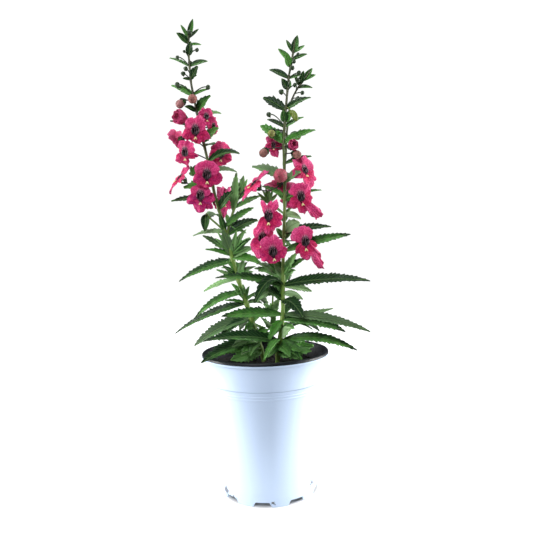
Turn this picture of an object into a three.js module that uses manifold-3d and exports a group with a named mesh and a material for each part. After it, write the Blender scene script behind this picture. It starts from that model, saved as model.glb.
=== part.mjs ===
// Potted summer snapdragon: two flowering stems in a tapered nursery pot.
// Millimetres, +Z up, origin under the middle of the pot, front of the pot at -Y.

import * as THREE from "three";
import { mergeVertices } from "three/addons/utils/BufferGeometryUtils.js";
import Module from "manifold-3d";

const wasm = await Module();
wasm.setup();

// Pot
const POT_HEIGHT = 118;
const RIM_RADIUS = 54;
const RIM_LIP = 4.6;
const COLLAR_RADIUS = 51.6;
const STEP_HEIGHT = 94.8;
const BODY_RADIUS = 48.6;
const FOOT_RADIUS = 41.2;
const WALL = 1.5;
const FLOOR_UNDER = 4.6;
const FLOOR_TOP = 6.4;
const NOTCHES = 9;
const NOTCH_HEIGHT = 4.2;
const POT_SIDES = 32;

// Potting mix
const SOIL_TOP = 107;
const SOIL_SIDES = 24;
const FIT = 0.3;
const STEM_FOOT = 86;

// Leaves and blooms
const BLADE = 0.75;
const PETAL = 0.8;
const CUP_DEPTH = 6.2;

const UP = new THREE.Vector3(0, 0, 1);
const plant = new THREE.Group();

// One seed keeps the potting mix the same on every run.
let seed = 11;

function random() {
  seed = (seed * 1664525 + 1013904223) % 4294967296;
  return seed / 4294967296;
}

// Turns a closed geometry into a solid that can be joined and cut.
function solid(geometry) {
  geometry.deleteAttribute("normal");
  geometry.deleteAttribute("uv");
  const welded = mergeVertices(geometry, 1e-4);
  const corners = welded.index.array;
  const kept = [];
  for (let i = 0; i < corners.length; i += 3) {
    const a = corners[i];
    const b = corners[i + 1];
    const c = corners[i + 2];
    if (a !== b && b !== c && c !== a) kept.push(a, b, c);
  }
  return new wasm.Manifold(new wasm.Mesh({
    numProp: 3,
    vertProperties: welded.attributes.position.array,
    triVerts: new Uint32Array(kept),
  }));
}

function joined(bodies) {
  let whole = bodies[0];
  for (const body of bodies.slice(1)) whole = whole.add(body);
  return whole;
}

function place(name, body, color, roughness) {
  const mesh = body.getMesh();
  const geometry = new THREE.BufferGeometry();
  geometry.setAttribute("position", new THREE.BufferAttribute(mesh.vertProperties, 3));
  geometry.setIndex(new THREE.BufferAttribute(mesh.triVerts, 1));
  geometry.computeVertexNormals();
  const material = new THREE.MeshStandardMaterial({ color, roughness, metalness: 0 });
  const piece = new THREE.Mesh(geometry, material);
  piece.name = name;
  plant.add(piece);
}

function vector(numbers) {
  return new THREE.Vector3(numbers[0], numbers[1], numbers[2]);
}

// Lays a shape that was drawn along its own Y, from -0.5 to 0.5, over a curve.
// across(x, z, t) gives the sideways and upward places at the share t of the way.
function along(geometry, curve, lean, across) {
  const spots = geometry.attributes.position;
  for (let i = 0; i < spots.count; i += 1) {
    const t = THREE.MathUtils.clamp(spots.getY(i) + 0.5, 0, 1);
    const [side, rise, slip] = across(spots.getX(i), spots.getZ(i), t);
    const s = THREE.MathUtils.clamp(t + slip, 0, 1);
    const forward = curve.getTangent(s);
    const right = new THREE.Vector3().crossVectors(forward, lean).normalize();
    const top = new THREE.Vector3().crossVectors(right, forward);
    const spot = curve.getPoint(s).addScaledVector(right, side).addScaledVector(top, rise);
    spots.setXYZ(i, spot.x, spot.y, spot.z);
  }
  return geometry;
}

// A box's underside is split along the other diagonals than its top.
// Splitting it alike keeps a thin twisted blade as thick all over.
function blade(across, steps) {
  const box = new THREE.BoxGeometry(1, 1, 1, across, steps, 1);
  const corners = box.index.array;
  const under = box.groups[5];
  for (let i = under.start; i < under.start + under.count; i += 6) {
    const a = corners[i];
    const b = corners[i + 1];
    const c = corners[i + 4];
    const d = corners[i + 5];
    corners.set([a, b, c, a, c, d], i);
  }
  return box;
}

// Pot: a turned wall with rolled rim, collar, step and a raised floor
const bodyAt = (z) => FOOT_RADIUS + (BODY_RADIUS - FOOT_RADIUS) * (z / STEP_HEIGHT);
const insideAt = (z) => bodyAt(z) - WALL + Math.max(0, z - STEP_HEIGHT) * 0.06;

const potProfile = [
  [0, FLOOR_UNDER],
  [FOOT_RADIUS - 2, FLOOR_UNDER],
  [FOOT_RADIUS - 2.2, 0],
  [FOOT_RADIUS, 0],
  [bodyAt(88), 88],
  [bodyAt(STEP_HEIGHT), STEP_HEIGHT],
  [bodyAt(STEP_HEIGHT) + 1.5, STEP_HEIGHT + 1],
  [COLLAR_RADIUS, POT_HEIGHT - RIM_LIP],
  [RIM_RADIUS - 0.3, POT_HEIGHT - RIM_LIP + 0.2],
  [RIM_RADIUS, POT_HEIGHT - 1.2],
  [RIM_RADIUS - 1.2, POT_HEIGHT],
  [insideAt(POT_HEIGHT) + 1.4, POT_HEIGHT],
  [insideAt(POT_HEIGHT - 2), POT_HEIGHT - 2],
  [insideAt(STEP_HEIGHT), STEP_HEIGHT],
  [insideAt(FLOOR_TOP), FLOOR_TOP],
  [0, FLOOR_TOP],
];
const potOutline = potProfile.map((spot) => new THREE.Vector2(spot[0], spot[1]));
const turnedPot = new THREE.LatheGeometry(potOutline, POT_SIDES);
turnedPot.rotateX(Math.PI / 2);
let pot = solid(turnedPot);

// Trapezoid notches leave the pot standing on pads
const notchShape = new THREE.Shape();
notchShape.moveTo(-8.4, -1);
notchShape.lineTo(8.4, -1);
notchShape.lineTo(5.6, NOTCH_HEIGHT);
notchShape.lineTo(-5.6, NOTCH_HEIGHT);
notchShape.closePath();
for (let i = 0; i < NOTCHES; i += 1) {
  const notch = new THREE.ExtrudeGeometry(notchShape, { depth: 12, bevelEnabled: false });
  notch.rotateX(Math.PI / 2);
  notch.translate(0, -FOOT_RADIUS + 6, 0);
  notch.rotateZ(THREE.MathUtils.degToRad(-8 + (360 / NOTCHES) * i));
  pot = pot.subtract(solid(notch));
}
place("pot", pot, "#e6ecf5", 0.45);

// Stems: centre line points with the radius at each, from the root upward
const leftStem = [
  [-1, 5, STEM_FOOT, 2.1],
  [-1, 5, 108, 2.1],
  [-7, 6, 131, 2.0],
  [-14, 6, 155, 1.9],
  [-21, 6, 178, 1.75],
  [-27, 6, 203, 1.6],
  [-34, 6, 232, 1.4],
  [-39, 6, 252, 1.3],
  [-44, 6, 282, 1.15],
  [-51, 6, 318, 1.0],
  [-56, 6, 349, 0.9],
  [-57, 6, 374, 0.8],
  [-56, 6, 390, 0.7],
  [-54, 6, 398, 0.6],
];
const rightStem = [
  [10, -5, STEM_FOOT, 1.9],
  [10, -5, 108, 1.9],
  [13, -6, 128, 1.8],
  [16, -7, 150, 1.6],
  [17, -8, 177, 1.5],
  [18, -8, 205, 1.4],
  [20, -8, 233, 1.3],
  [21, -8, 261, 1.2],
  [21, -8, 295, 1.1],
  [24, -8, 323, 0.95],
  [27, -8, 347, 0.85],
  [31, -8, 365, 0.75],
  [33, -8, 377, 0.6],
];
const leftBranch = [
  [-30, 6, 216, 1.1],
  [-27, 9, 230, 1.0],
  [-23, 10, 240, 0.9],
  [-18, 11, 252, 0.8],
  [-13, 11, 264, 0.7],
];
const leftSprig = [
  [-32, 6, 222, 0.8],
  [-41, 3, 230, 0.8],
  [-48, 2, 237, 0.7],
];
const rightShoot = [
  [10.4, -5, 111, 0.9],
  [7, 1, 119, 0.9],
  [5, 5, 129, 0.9],
  [7, 6, 150, 0.8],
  [9, 6, 172, 0.7],
];
const rightBranch = [
  [21, -8, 272, 0.9],
  [23, -1, 284, 0.9],
  [24, 4, 300, 0.9],
  [28, 6, 328, 0.8],
  [34, 6, 340, 0.7],
  [41, 6, 348, 0.7],
  [47, 6, 356, 0.6],
];

// The centre line's place at a height
function stemAt(line, z) {
  let i = 0;
  while (i < line.length - 2 && line[i + 1][2] < z) i += 1;
  const share = (z - line[i][2]) / (line[i + 1][2] - line[i][2]);
  return vector(line[i]).lerp(vector(line[i + 1]), share);
}

function stem(line, sides) {
  const steps = line.length - 1;
  const tube = new THREE.CylinderGeometry(1, 1, 1, sides, steps);
  const spots = tube.attributes.position;
  for (let i = 0; i < spots.count; i += 1) {
    const row = Math.round((spots.getY(i) + 0.5) * steps);
    const [x, y, z, radius] = line[row];
    spots.setXYZ(i, x + spots.getX(i) * radius, y - spots.getZ(i) * radius, z);
  }
  return solid(tube);
}

// Leaf: narrow, toothed, folded up at its midrib, from a stem to its tip.
// lift raises the middle of its curve; lean tips its face toward the front.
function leaf(root, tip, width, lift, lean, steps) {
  const start = root.clone();
  const end = vector(tip);
  const middle = start.clone().lerp(end, 0.5).addScaledVector(UP, lift);
  const curve = new THREE.QuadraticBezierCurve3(start, middle, end);
  const facing = new THREE.Vector3(0, -lean, 1).normalize();
  const toothed = steps > 5;
  const folds = width > 8.5 ? 2 : 1;
  const body = along(blade(folds, steps), curve, facing, (x, z, t) => {
    const swell = Math.sin(Math.PI * Math.pow(Math.min(t, 0.995), 0.8));
    const row = Math.round(t * steps);
    const tooth = toothed && t > 0.3 && row % 2 === 1 ? 1.12 : 0.9;
    const reach = Math.max(0.7, 0.5 * width * Math.pow(swell, 0.75) * tooth);
    const half = t > 0.99 ? 0.4 : reach;
    const slip = toothed && x !== 0 && tooth > 1 ? 0.05 : 0;
    const side = x * 2 * half;
    return [side, z * BLADE + Math.abs(side) * 0.34, slip];
  });
  return solid(body);
}

// Stalk: a thin tube from the stem that arrives along the flower's facing.
// radii gives its radius at each row, so that one tube ends as a calyx or a bud.
function stalk(from, to, facing, radii, sides) {
  const steps = radii.length - 1;
  const bend = to.clone().addScaledVector(facing, -0.45 * from.distanceTo(to));
  const curve = new THREE.QuadraticBezierCurve3(from.clone(), bend, to.clone());
  const tube = new THREE.CylinderGeometry(1, 1, 1, sides, steps);
  const side = Math.abs(facing.z) > 0.8 ? new THREE.Vector3(0, -1, 0.3) : UP;
  const length = curve.getLength();
  return solid(along(tube, curve, side, (x, z, t) => {
    const row = Math.round(t * steps);
    const [radius, fromEnd] = radii[row];
    const slip = row === 0 ? 0 : 1 - fromEnd / length - t;
    return [x * radius, z * radius, slip];
  }));
}

function direction(azimuth, elevation) {
  const a = THREE.MathUtils.degToRad(azimuth);
  const e = THREE.MathUtils.degToRad(elevation);
  return new THREE.Vector3(Math.cos(a) * Math.cos(e), Math.sin(a) * Math.cos(e), Math.sin(e));
}

// Right, up and outward as seen by someone who looks into the flower
function frameOf(facing, spin) {
  const right = new THREE.Vector3().crossVectors(UP, facing).normalize();
  const above = new THREE.Vector3().crossVectors(facing, right);
  const turn = THREE.MathUtils.degToRad(spin);
  const r = right.clone().multiplyScalar(Math.cos(turn)).addScaledVector(above, -Math.sin(turn));
  const a = new THREE.Vector3().crossVectors(facing, r);
  return new THREE.Matrix4().makeBasis(r, a, facing);
}

// Petal: root at the throat's edge; turn is clockwise from the top of the flower
function petal(turn, length, width, push, curl, steps) {
  const angle = THREE.MathUtils.degToRad(turn);
  const rows = steps === 3 ? [0.28, 0.76, 1, 0.58] : [0.28, 0.92, 0.6];
  const body = blade(1, steps);
  const spots = body.attributes.position;
  for (let i = 0; i < spots.count; i += 1) {
    const s = spots.getY(i) + 0.5;
    const x = spots.getX(i) * width * rows[Math.round(s * steps)];
    const out = 2.8 + length * s;
    const n = push * s - curl * s * s + spots.getZ(i) * PETAL;
    const u = Math.sin(angle) * out + Math.cos(angle) * x;
    const v = Math.cos(angle) * out - Math.sin(angle) * x;
    spots.setXYZ(i, u, v, n);
  }
  return solid(body);
}

// Bloom: two broad upper petals, two side petals, a lip, and a pouched throat
// A hanging bloom lets one more petal droop at its right.
function bloom(spot, facing, spin, size, steps, hanging) {
  const cup = new THREE.LatheGeometry([
    new THREE.Vector2(0, -CUP_DEPTH),
    new THREE.Vector2(2.1, -CUP_DEPTH + 0.4),
    new THREE.Vector2(4.1, 0.6),
    new THREE.Vector2(3, 0.6),
    new THREE.Vector2(0, -CUP_DEPTH + 1.2),
  ], 5);
  cup.rotateX(Math.PI / 2);
  cup.rotateZ(Math.PI);
  const parts = [
    solid(cup),
    petal(-33, 10.4, 14.2, -0.6, 1.6, steps),
    petal(33, 10.4, 14.2, 1.4, 1.6, steps),
    petal(-104, 10.6, 12.4, 0.4, 2.6, steps),
    petal(104, hanging ? 8.6 : 10.6, hanging ? 11 : 12.4, 0.8, 2.4, steps),
    petal(180, 11, 12.6, 2.2, 3.6, steps),
  ];
  if (hanging) parts.push(petal(150, 23, 8, 5, 8, 3));
  const matrix = frameOf(facing, spin);
  matrix.scale(new THREE.Vector3(size, size, size));
  matrix.setPosition(vector(spot));
  return joined(parts).transform(matrix.elements);
}

// Half-open bud: a plain rounded body, slightly longer than wide
function bud(spot, facing, radius) {
  const ball = new THREE.SphereGeometry(radius, 7, 4);
  ball.rotateX(Math.PI / 2);
  ball.scale(1, 1, 1.12);
  const matrix = frameOf(facing, 0);
  matrix.setPosition(vector(spot));
  return solid(ball).transform(matrix.elements);
}

// The green cup behind a bloom or bud, with its stalk back to the stem
function calyx(line, rootHeight, spot, facing, behind, radius) {
  const back = vector(spot).addScaledVector(facing, -behind - FIT);
  const root = stemAt(line, rootHeight);
  const radii = [[0.65, 0], [0.65, 6.5], [0.65, 3.2], [radius, 0]];
  return stalk(root, back, facing, radii, 5);
}

// A small green bud that nods at the end of its own stalk, part of the leafy stem
function greenBud(line, rootHeight, spot, radius, stretch = 1) {
  const root = stemAt(line, rootHeight);
  const end = vector(spot);
  const facing = end.clone().sub(root).setZ(0).normalize().multiplyScalar(0.7 / stretch);
  facing.setZ(-1).normalize();
  end.addScaledVector(facing, radius * stretch);
  const radii = [
    [0.6, 0],
    [0.6, radius * 2 * stretch],
    [radius, radius * 1.4 * stretch],
    [radius * 0.9, radius * 0.6 * stretch],
    [0.5, 0],
  ];
  return stalk(root, end, facing, radii, 4);
}

// Leaves of the left stem: height on the stem, tip, width, lift, lean, steps
const leftLeaves = [
  [119, [-19, -26, 120], 8, 3, 0.9, 4],
  [126, [-26, -22, 126], 9, 4, 0.9, 5],
  [127, [-51, -34, 116], 13, 5.4, 0.6, 7],
  [128, [-24, 48, 128], 10, 20, -0.4, 6],
  [143, [-41, 14, 125], 9, 10.3, 0.5, 6],
  [145, [-65, 30, 118], 13, 9.3, 0.5, 7],
  [158, [-83, 36, 129], 9.5, 8.2, 0.6, 8],
  [158, [-1, 12, 157], 4, 4, 1, 4],
  [159, [-33, 0, 162], 4, 0.5, 0.5, 3],
  [160, [4, 46, 150], 9, 16, -0.3, 6],
  [165, [-27, 2, 176], 4, 1, 1.4, 3],
  [167, [-62, 18, 145], 8, 11, 0.7, 7],
  [178, [-40, 8, 188], 3.5, 2, 1.2, 4],
  [179, [-54, 26, 168], 8, 3.3, 0.5, 5],
  [179, [-16, 0, 197], 5, 0, 1.8, 4],
  [179, [-10, 4, 190], 6, 2, 1.4, 4],
  [180, [-34, 0, 192], 4, 1, 1.5, 4],
  [183, [-22, 50, 186], 10, 16, -0.3, 6],
  [195, [-75, 20, 178], 10.5, 6.5, 0.7, 8],
  [196, [-1, 34, 190], 9, 12, 0, 6],
  [198, [-3, -10, 193], 9, 4, 1.2, 6],
  [198, [-8, -4, 205], 6, 3, 1.4, 4],
  [199, [-9, -2, 214], 5, 2, 1.2, 4],
  [200, [-33, 1, 222], 8, 0, 3, 5],
  [200, [-48, 0, 206], 5, 2, 1.2, 4],
  [203, [-51, 8, 218], 5, 2, 1.4, 4],
  [217, [-3, 12, 230], 9.5, 5, 1, 6],
  [220, [-60, 12, 218], 6, 4, 1, 4],
  [220, [-35, -1, 236], 5, 0, 2.5, 4],
  [224, [-6, 12, 241], 6, 4, 1, 5],
  [232, [-52, 40, 232], 8, 10, -0.3, 5],
  [240, [-23, -2, 254], 8, 3, 1.4, 5],
  [246, [-78, 14, 249], 6, 6, 0.9, 5],
  [261, [-65, 2, 259], 8, 2, 2, 4],
  [272, [-19, 4, 271], 6, 5, 1.2, 5],
  [281, [-16, -6, 285], 8, 8, 1.6, 6],
  [294, [-34, 34, 296], 7, 6, -0.3, 4],
  [298, [-33, -5, 307], 8, 2, 2, 4],
  [308, [-76, 12, 318], 5, 3, 1.2, 4],
  [317, [-31, 8, 322], 6, 5, 1.4, 4],
  [324, [-39, 0, 335], 9, 2, 2, 5],
  [324, [-61, 0, 327], 5, 1, 2, 3],
  [337, [-73, 8, 347], 8, 2, 1.6, 4],
  [338, [-41, 4, 342], 4, 1, 1.4, 3],
  [351, [-49, 0, 360], 8, 1, 2.4, 4],
  [351, [-62, 2, 351], 4, 0, 2, 3],
  [362, [-74, 10, 371], 4, 2, 1.2, 4],
  [362, [-41, 6, 366], 6.5, 2, 1.6, 4],
  [371, [-54, -2, 380], 7.5, 0, 3, 4],
  [380, [-46, 6, 380], 4, 1, 1.4, 3],
  [381, [-66, 2, 389], 7, 1, 2, 4],
  [386, [-63, 8, 398], 3.5, 0, 2, 3],
  [386, [-48, 8, 394], 3.5, 0, 2, 3],
  [387, [-52, 2, 400], 5.5, 0, 3, 4],
];
const leftBranchLeaves = [
  [225, [-17, 22, 229], 6, 3, 1, 4],
  [238, [-20, 9, 271], 7, 0, 2.5, 5],
  [241, [-0, 12, 251], 5, 2, 1.2, 4],
  [248, [-4, 8, 262], 4, 1, 1.4, 4],
  [251, [-14, 12, 269], 5, 0, 2, 4],
];
const leftSprigLeaves = [
  [236, [-48, 0, 221], 7, 2, 1.5, 4],
];

// Leaves of the right stem
const rightLeaves = [
  [118, [28, -26, 115], 8, 8, 0.5, 4],
  [126, [-48, -38, 134], 11, 8.2, 0.7, 8],
  [126, [77, -14, 118], 8, 13.9, 0.6, 8],
  [128, [-1, -46, 119], 5, 8, 0.6, 5],
  [128, [50, 30, 128], 10, 20, -0.2, 6],
  [130, [22, -14, 138], 8, 2, 1.6, 3],
  [138, [39, -28, 139], 4, 8.8, 0.6, 4],
  [144, [4, -22, 131], 6.5, 4.6, 0.5, 4],
  [145, [64, -38, 138], 11.5, 6.4, 0.5, 7],
  [146, [34, 44, 142], 10, 18, -0.3, 6],
  [148, [59, -6, 153], 5.5, -3.1, 0.9, 6],
  [149, [-34, -28, 152], 9, 3.8, 0.6, 8],
  [149, [83, -42, 138], 8.5, 7.4, 0.6, 8],
  [161, [31, -34, 150], 11, 8.7, 0.5, 6],
  [161, [-6, -12, 178], 8.5, 3, 0.9, 6],
  [167, [33, -14, 162], 6, 3, 1.3, 4],
  [173, [-38, -26, 183], 9, 6.9, 0.7, 8],
  [173, [42, 2, 167], 6, 3, 1.3, 4],
  [174, [83, -46, 178], 11, 6, 0.7, 8],
  [174, [-7, -30, 162], 10, 21.2, 0.4, 6],
  [174, [24, 42, 174], 10, 16, -0.3, 6],
  [178, [-5, 8, 192], 8.5, 6.8, 0.8, 6],
  [179, [10, -6, 194], 5, 0, 2, 4],
  [182, [29, -14, 201], 6, 2, 1.6, 4],
  [185, [36, -12, 196], 6, 2, 1.4, 4],
  [188, [-3, 4, 200], 7, 5, 0.9, 4],
  [202, [76, 0, 215], 8, 4, 0.8, 7],
  [204, [-2, 2, 219], 7, 5, 0.9, 4],
  [205, [46, 26, 196], 8, 12, 0, 5],
  [217, [60, 2, 222], 8, 4, 0.9, 6],
  [218, [33, -2, 226], 10, 3, 1.6, 5],
  [232, [34, -4, 229], 6, 4, 1.6, 4],
  [244, [52, -2, 253], 6, 4, 1, 5],
  [248, [2, 0, 258], 5, 2, 1.4, 4],
  [260, [34, -16, 267], 8, 2, 1.6, 4],
  [263, [-6, -4, 274], 11.6, 3, 1.2, 6],
  [275, [45, 6, 283], 4.5, 2, 1.2, 4],
  [292, [2, -4, 308], 9, 3, 1.4, 5],
  [292, [48, -4, 303], 8, 3, 1.4, 5],
  [305, [8, 0, 314], 4.5, 2, 1.2, 4],
  [305, [39, 0, 315], 4.5, 2, 1.2, 4],
  [309, [21, -14, 318], 6, 0, 3, 4],
  [309, [27, -11, 318], 6, 0, 3, 4],
  [319, [5, -4, 331], 8, 2, 1.8, 5],
  [320, [45, -4, 330], 7, 3, 1.4, 5],
  [336, [21, -12, 344], 7, 0, 2.5, 4],
  [336, [28, -4, 345], 5, 0, 2.5, 3],
  [345, [11, -4, 354], 7, 2, 1.6, 4],
  [345, [37, -6, 348], 4, 1, 1.4, 3],
  [354, [25, -12, 364], 7.5, 0, 3, 4],
  [358, [19, -4, 371], 6, 1, 2, 4],
  [360, [43, -4, 366], 5, 1, 1.6, 4],
  [365, [35, -8, 380], 7, 0, 2.5, 4],
  [366, [26, -4, 378], 4, 0, 2, 3],
  [366, [41, -4, 373], 4, 0, 2, 3],
];
const rightBranchLeaves = [
  [300, [10, 16, 308], 6, 3, 0.4, 4],
  [341, [48, 10, 342], 5, 2, 1.4, 3],
  [343, [33, 8, 352], 4, 0, 2, 3],
  [344, [40, 2, 354], 5.5, 0, 2.5, 4],
  [347, [48, 8, 358], 6, 0, 2, 4],
  [347, [51, 10, 353], 5, 1, 1.6, 3],
];

const rightShootLeaves = [
  [126, [-8, 14, 139], 4, 3, 1, 3],
  [128, [18, 12, 137], 4, 3, 1, 3],
  [148, [0, -3, 158], 5, 2, 1.6, 4],
  [150, [14, 16, 160], 5, 2, 1.2, 3],
  [170, [-6, -4, 160], 9, 6, 0.9, 6],
  [171, [15, 2, 182], 6, 2, 1.2, 4],
];

// Green buds: height on the stem, place, radius, and how much longer than round
const leftBuds = [
  [337, [-67.1, 4, 346.9], 2.6],
  [339, [-41.2, 3, 343.3], 2.3],
  [351, [-61.8, 2, 355.4], 2.2],
  [356, [-59.2, 0, 358.8], 2],
  [362, [-65.9, 2, 368.8], 1.9],
  [362, [-57, 14, 368.3], 1.9],
  [369, [-60.2, 2, 373.6], 1.3],
  [371, [-49.2, 2, 374.5], 1.8],
  [381, [-54.8, 1, 389.2], 2.3],
];
const rightBuds = [
  [306, [9.6, -8, 316.4], 2.5],
  [322, [30.8, -14, 313.9], 2.6, 2.4],
  [330, [20, -13, 333.5], 2.3],
  [335, [31.6, -12, 338.7], 1.9],
  [345, [35.3, -10, 348.9], 2.1],
  [348, [29.9, -13, 352.6], 1.9],
  [355, [31.3, -14, 357.1], 1.7],
  [358, [34.8, -12, 363.3], 1.6],
];
const rightBranchBuds = [
  [332, [34.8, 3, 331.7], 1.9],
  [336, [38.9, 5, 336.7], 1.9],
  [339, [35.2, 2, 347.3], 1.9],
];

// Blooms: name, stem, height of the stalk's root, throat, azimuth, elevation, spin,
// size, rows of each petal, and whether one more petal hangs
const blooms = [
  ["bloom_left_top", leftStem, 316, [-42.5, -5, 316.7], 295, 10, 0, 0.6, 2],
  ["bloom_left_2", leftStem, 309, [-38, 6, 311.1], 325, 0, 5, 0.6, 2],
  ["bloom_left_3", leftStem, 302, [-51.7, -9, 304.6], 262, -6, 0, 0.95, 3],
  ["bloom_left_4", leftStem, 293, [-68.7, 5, 298.3], 215, 0, -8, 0.74, 2],
  ["bloom_left_5", leftStem, 283, [-61, -9, 286.8], 244, -8, 0, 0.86, 3],
  ["bloom_left_6", leftStem, 277, [-32.6, 9, 287.7], 295, -8, 6, 0.84, 3],
  ["bloom_left_7", leftStem, 266, [-43.1, -13, 267.2], 272, -4, 0, 0.96, 3],
  ["bloom_left_8", leftStem, 262, [-68.4, 4, 268.4], 200, 38, 0, 0.84, 2],
  ["bloom_left_9", leftStem, 247, [-49.9, -6, 250.8], 258, -2, 0, 0.95, 3],
  ["bloom_left_10", leftStem, 232, [-31.1, 16, 247.8], 322, -10, 0, 0.66, 2],
  ["bloom_left_11", leftStem, 294, [-55.9, 22, 311.6], 95, -5, 0, 0.8, 2],
  ["bloom_right_top", rightStem, 287, [12.8, 4, 293], 120, 10, 0, 0.52, 2],
  ["bloom_right_2", rightStem, 243, [33.7, -15, 246.5], 290, -8, -12, 0.92, 3, true],
  ["bloom_right_3", rightStem, 232, [6.4, -28, 231.1], 262, 0, 0, 0.94, 3],
  ["bloom_right_4", rightStem, 214, [1, -18, 213.5], 256, -4, 6, 0.94, 3],
  ["bloom_right_5", rightStem, 200, [9.1, -25, 202.2], 276, -8, -8, 0.94, 3],
  ["bloom_right_6", rightStem, 211, [36.1, -17, 209.5], 288, -6, -2, 0.94, 3, true],
  ["bloom_right_7", rightStem, 254, [17.7, 5, 258.2], 105, 30, 0, 0.62, 2],
  ["bloom_right_8", rightStem, 260, [-4.6, -12, 259.5], 200, 42, 0, 0.9, 2],
  ["bloom_right_9", rightStem, 268, [38.1, -8, 269.4], 345, 24, 0, 0.84, 2],
  ["bloom_right_10", rightStem, 232, [26.7, 12, 247.3], 75, -10, 0, 0.7, 2],
];

// Coloured buds: name, stem, height of the stalk's root, place, azimuth, elevation, radius
const buds = [
  ["bud_left_opening", leftStem, 318, [-66.3, 0, 318.2], 230, 5, 6.2, "#c8325f"],
  ["bud_left_high", leftStem, 331, [-65.3, 2, 329.6], 215, -40, 3.6, "#b9787a"],
  ["bud_left_dusty", leftStem, 334, [-53.9, -3, 332.1], 265, -20, 3.9, "#8f5a58"],
  ["bud_right_cup", rightStem, 290, [28.8, -15, 289.4], 300, 10, 4.6, "#d0507d"],
  ["bud_right_round", rightStem, 266, [17.2, -19, 264.1], 262, -15, 5.8, "#bc5870"],
  ["bud_right_brown_left", rightStem, 288, [4, -11, 284], 230, -35, 3.6, "#8f5a58"],
  ["bud_right_brown_right", rightStem, 283, [31.6, -12, 281.7], 310, -20, 3.5, "#80694f"],
  ["bud_right_yellow_left", rightStem, 302, [11, -16, 298.7], 240, -35, 3.1, "#7c7f3c"],
  ["bud_right_yellow_right", rightBranch, 299, [32.8, 0, 299.2], 320, -25, 3.4, "#7c7f3c"],
];

const leftBodies = [stem(leftStem, 6), stem(leftBranch, 5), stem(leftSprig, 4)];
const rightBodies = [stem(rightStem, 6), stem(rightBranch, 5), stem(rightShoot, 4)];

function grow(bodies, line, leaves, greens) {
  for (const [height, tip, width, lift, lean, steps] of leaves) {
    bodies.push(leaf(stemAt(line, height), tip, width, lift, lean, steps));
  }
  for (const [height, spot, radius, stretch] of greens) {
    bodies.push(greenBud(line, height, spot, radius, stretch));
  }
}

grow(leftBodies, leftStem, leftLeaves, leftBuds);
grow(leftBodies, leftBranch, leftBranchLeaves, []);
grow(leftBodies, leftSprig, leftSprigLeaves, []);
grow(rightBodies, rightStem, rightLeaves, rightBuds);
grow(rightBodies, rightBranch, rightBranchLeaves, rightBranchBuds);
grow(rightBodies, rightShoot, rightShootLeaves, []);

for (const [name, line, height, spot, azimuth, elevation, spin, size, steps, hanging] of blooms) {
  const facing = direction(azimuth, elevation);
  const bodies = line === leftStem ? leftBodies : rightBodies;
  bodies.push(calyx(line, height, spot, facing, CUP_DEPTH * size, 2.2));
  place(name, bloom(spot, facing, spin, size, steps, hanging), "#c42a5c", 0.6);
}
for (const [name, line, height, spot, azimuth, elevation, radius, color] of buds) {
  const facing = direction(azimuth, elevation);
  const bodies = line === leftStem ? leftBodies : rightBodies;
  bodies.push(calyx(line, height, spot, facing, radius * 1.12, Math.min(2.2, radius * 0.7)));
  place(name, bud(spot, facing, radius), color, 0.6);
}
place("stem_left", joined(leftBodies), "#3f6a2c", 0.55);
place("stem_right", joined(rightBodies), "#416d2d", 0.55);

// Potting mix: fills the pot, with a lumpy top and a plain hole for each stem
const soilOutline = [
  new THREE.Vector2(0, FLOOR_TOP + FIT),
  new THREE.Vector2(insideAt(FLOOR_TOP) - FIT, FLOOR_TOP + FIT),
  new THREE.Vector2(insideAt(STEP_HEIGHT) - FIT - 0.2, STEP_HEIGHT),
  new THREE.Vector2(insideAt(SOIL_TOP) - FIT - 0.4, SOIL_TOP - 2),
  new THREE.Vector2(37, SOIL_TOP - 1),
  new THREE.Vector2(24, SOIL_TOP),
  new THREE.Vector2(0, SOIL_TOP + 0.5),
];
const turnedSoil = new THREE.LatheGeometry(soilOutline, SOIL_SIDES);
turnedSoil.rotateX(Math.PI / 2);
turnedSoil.deleteAttribute("normal");
turnedSoil.deleteAttribute("uv");
const soilShape = mergeVertices(turnedSoil, 1e-4);
const soilSpots = soilShape.attributes.position;
for (let i = 0; i < soilSpots.count; i += 1) {
  const lump = (random() - 0.5) * 2.4;
  if (soilSpots.getZ(i) > SOIL_TOP - 3) soilSpots.setZ(i, soilSpots.getZ(i) + lump);
}
let soil = solid(soilShape);
for (const line of [leftStem, rightStem]) {
  const [x, y, z, radius] = line[0];
  const hole = new THREE.CylinderGeometry(radius + FIT + 0.1, radius + FIT + 0.1, 40, 12);
  hole.rotateX(Math.PI / 2);
  hole.translate(x, y, z - FIT + 20);
  soil = soil.subtract(solid(hole));
}
place("soil", soil, "#3b332c", 0.95);

export default plant;
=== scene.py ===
# %% [markdown]
# # A summer snapdragon in its nursery pot
#
# Two flowering stems rise from a white plastic pot. Each carries long toothed leaves below,
# then a spike of lipped magenta flowers, and small green buds at the top.
#
# A plant could be scattered from a few instances, but here every leaf and flower has the place
# that it has in the solid model, so each one is drawn from a row of a table: where it grows on
# the stem and where its tip is. Everything is drawn in millimetres and handed over in metres.

import math

import bmesh
import bpy
from mathutils import Matrix, Vector, noise


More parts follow.
